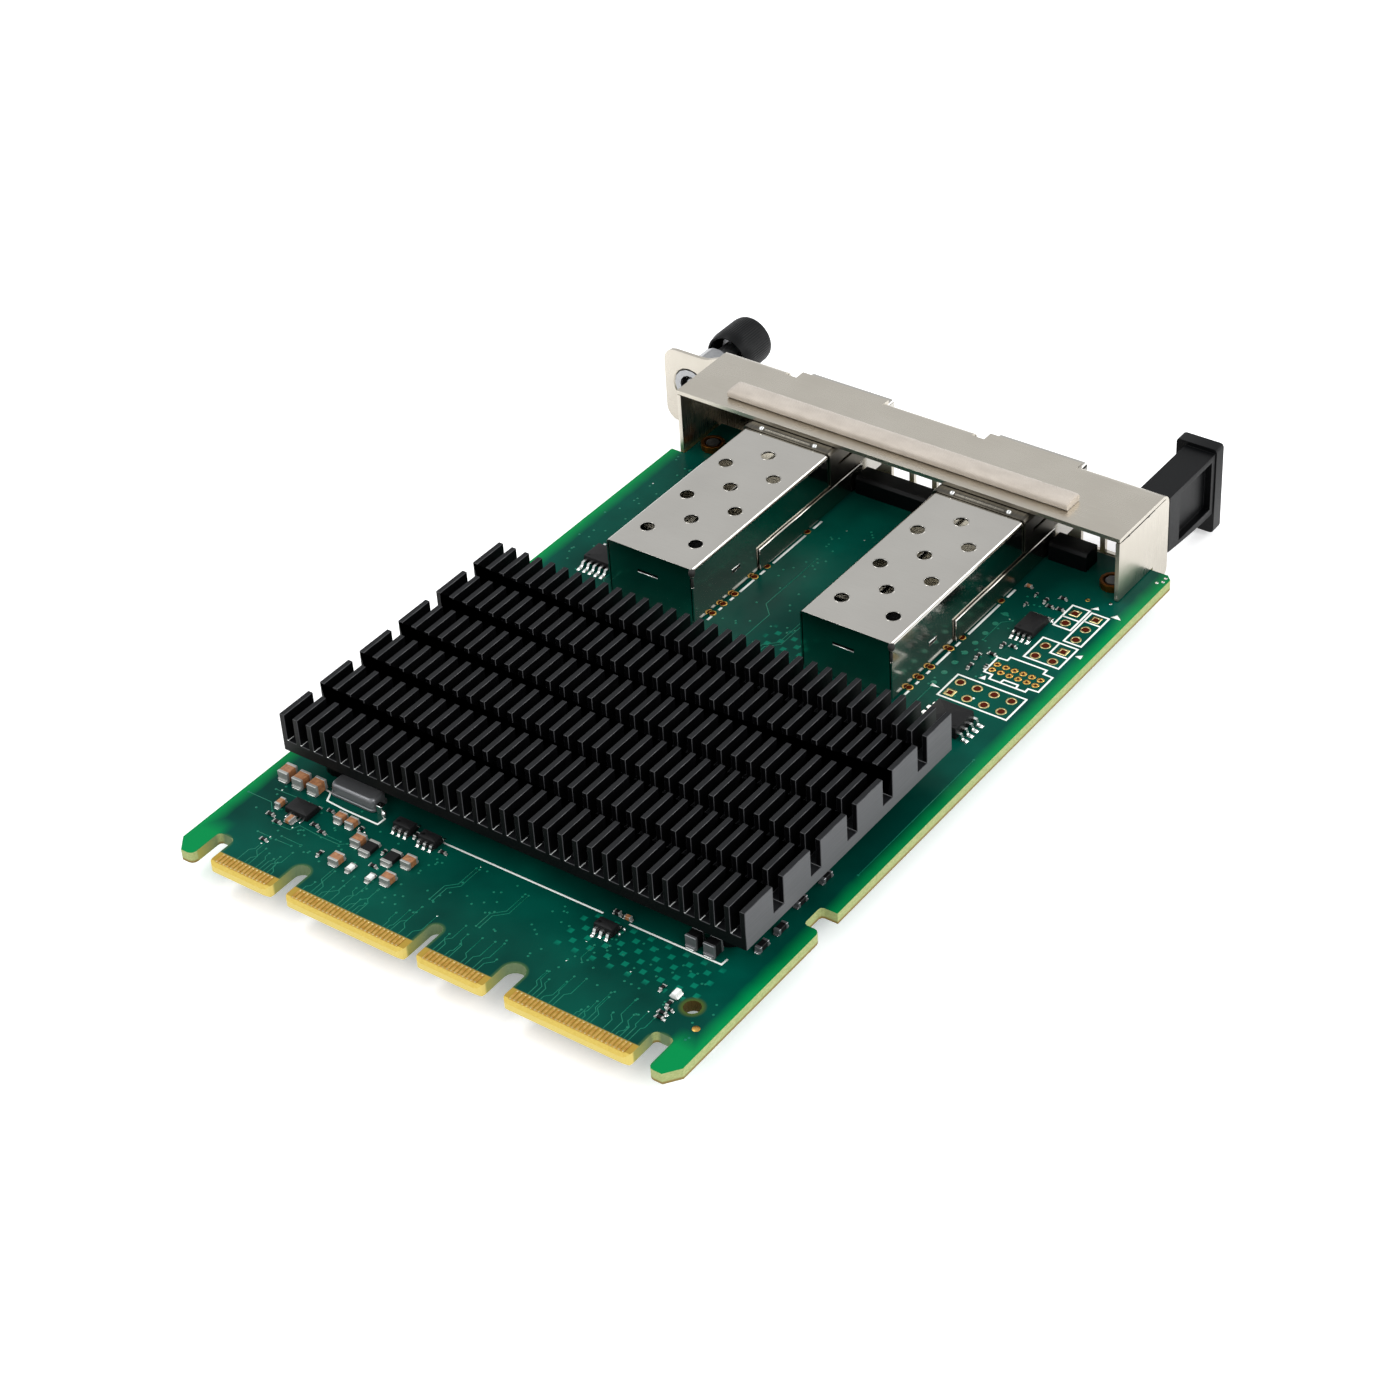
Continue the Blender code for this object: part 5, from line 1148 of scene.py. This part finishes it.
def knob():
    """The thumbscrew's knob: a turned cup whose grip has fine straight knurls, radius less a
    rounded tooth wave of the angle, faded out at both ends, with a driver's recess in its face.
    Each station of the profile is a radius, a Y and the share of the knurl there."""
    low, high = card_box("thumbscrew_knob")
    centre = (low + high) / 2
    radius = (high[0] - low[0]) / 2
    start, end = low[1], high[1]
    sides, teeth, tooth_depth = 240, 60, 0.05
    angle = np.arange(sides) * 2 * np.pi / sides
    wave = np.abs(np.sin(angle * teeth / 2)) ** 0.7
    stations = np.array([
        (3.1, start + 3.4, 0.0), (3.1, start + 0.1, 0.0), (3.22, start, 0.0), (3.36, start, 0.0),
        (radius - 0.2, start + 0.25, 0.0), (radius - 0.08, start + 1.0, 0.0),
        (radius, start + 1.25, 1.0), (radius, start + 2.2, 1.0), (radius, start + 3.4, 1.0),
        (radius, start + 4.6, 1.0), (radius, end - 0.95, 1.0), (radius - 0.06, end - 0.7, 0.0),
        (radius - 0.12, end - 0.4, 0.0), (radius - 0.5, end - 0.08, 0.0), (radius - 0.8, end, 0.0),
        (1.9, end, 0.0), (1.75, end - 0.25, 0.0), (0.4, end - 0.25, 0.0)])
    reach = stations[:, 0:1] - stations[:, 2:3] * tooth_depth * (1 - wave[None])
    rings = np.stack([centre[0] + reach * np.cos(angle),
                      np.broadcast_to(stations[:, 1:2], reach.shape),
                      centre[2] + reach * np.sin(angle)], -1)
    make("knurled_knob", [(loft(rings), look_black)], "thumbscrew", 35,
         ("thumbscrew_knob",))


def folded_metal():
    """Sheet parts and mouldings with their edges broken so that they catch the light."""
    softened("folded_bracket", "bracket", look_nickel, 0.1)
    for index in (1, 2):
        softened(f"port_cover_{index}", f"cage_cover_{index}", look_tin, 0.09)
        softened(f"port_tray_{index}", f"cage_base_{index}", look_tray, 0.08,
                 look_tin)
    softened("moulded_pull_tab", "pull_tab", look_black, 0.08)
    for name in ("bracket_nut_left", "bracket_nut_right"):
        softened("turned_" + name, name, look_brass, 0.12, smooth=50)
    softened("turned_ferrule", "thumbscrew_ferrule", look_steel, 0.08,
             smooth=50, body="ferrule")
    softened("cross_cut_sink", "heat_sink", look_sink, 0.06, look_sawn)


# Stage

# Area lamps: name, place in metres, size in metres and power in watts
LAMPS = (
    ("key_from_right", (0.75, -0.25, 0.55), (0.5, 0.5), 3.0),
    ("rim_from_back_right", (0.54, 0.57, 0.44), (0.5, 0.36), 2.4),
    ("fill_from_front_left", (-0.49, -0.6, 0.63), (0.5, 0.4), 1.8),
    ("edge_light_overhead", (-0.49, 0.02, 0.87), (0.4, 0.25), 2.0),
)
FLOOR_REACH = 4.0
# The floor lies this far under the part, in metres
FLOOR_GAP = 0.00002
# The camera solved from the board's and the ports' corners: its place, and the directions of the
# picture's right, its foot and the line of sight
CAMERA_PLACE = (0.20312835, -0.25830149, 0.25193649)
CAMERA_RIGHT = (0.81071132, 0.58307358, -0.05265317)
CAMERA_DOWN = (0.31953897, -0.51605569, -0.79472094)
CAMERA_AHEAD = (-0.49055276, 0.62746452, -0.60468692)
CAMERA_LENS = 83.1976


def stand(item, side, over, back, place):
    """Turns a lamp or camera by its own three axes and puts it in its place."""
    item.matrix_world = Matrix([(side[i], over[i], back[i], place[i]) for i in range(3)]
                               + [(0, 0, 0, 1)])


def softbox(name, place, size, power):
    """A rectangular area lamp that looks at the frame's origin."""
    panel = bpy.data.lights.new(name, "AREA")
    panel.shape = "RECTANGLE"
    panel.size, panel.size_y = size
    panel.energy = power
    back = np.array(place) / np.linalg.norm(place)
    side = np.cross((0.0, 0.0, 1.0), back)
    side /= np.linalg.norm(side)
    stand(link(name, panel), side, np.cross(back, side), back, place)


def studio():
    """Pale floor, soft lamps, an even sky and the photograph's camera."""
    floor_mesh = bpy.data.meshes.new("studio_floor")
    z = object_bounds()[0][2] - FLOOR_GAP
    corners = rectangle(-FLOOR_REACH, -FLOOR_REACH, FLOOR_REACH, FLOOR_REACH)
    floor_mesh.from_pydata([(x, y, z) for x, y in corners], [], [(0, 1, 2, 3)])
    paper, shader = new_finish("white_paper_sweep", "#FCFCFC", 0.9)
    shader.inputs["Specular IOR Level"].default_value = 0.0
    shader.inputs["Emission Color"].default_value = linear("#FFFFFF")
    shader.inputs["Emission Strength"].default_value = 0.3
    floor_mesh.materials.append(paper)
    link("studio_floor", floor_mesh)

    sky = bpy.data.worlds.new("studio_sky")
    sky.use_nodes = True
    sky.node_tree.nodes["Background"].inputs[0].default_value = linear("#F4F5F7")
    sky.node_tree.nodes["Background"].inputs[1].default_value = 0.9
    bpy.context.scene.world = sky
    for lamp_entry in LAMPS:
        softbox(*lamp_entry)

    view = bpy.data.cameras.new("photograph_view")
    view.sensor_width = 36.0
    view.lens = CAMERA_LENS
    view.clip_start = 0.01
    view.clip_end = 20.0
    camera = link("photograph_view", view)
    stand(camera, CAMERA_RIGHT, -np.array(CAMERA_DOWN), -np.array(CAMERA_AHEAD), CAMERA_PLACE)
    bpy.context.scene.camera = camera
    bpy.context.scene.view_settings.view_transform = "Standard"
    bpy.context.scene.view_settings.look = "None"


paint_nodes()
folded_metal()
silk_screen()
header_pads()
traces()
small_parts()
leaded_chips()
crystal()
lamp()
collar_bars()
sheet_details()
lower_contacts()
finger_marks()
gasket()
knob()
studio()
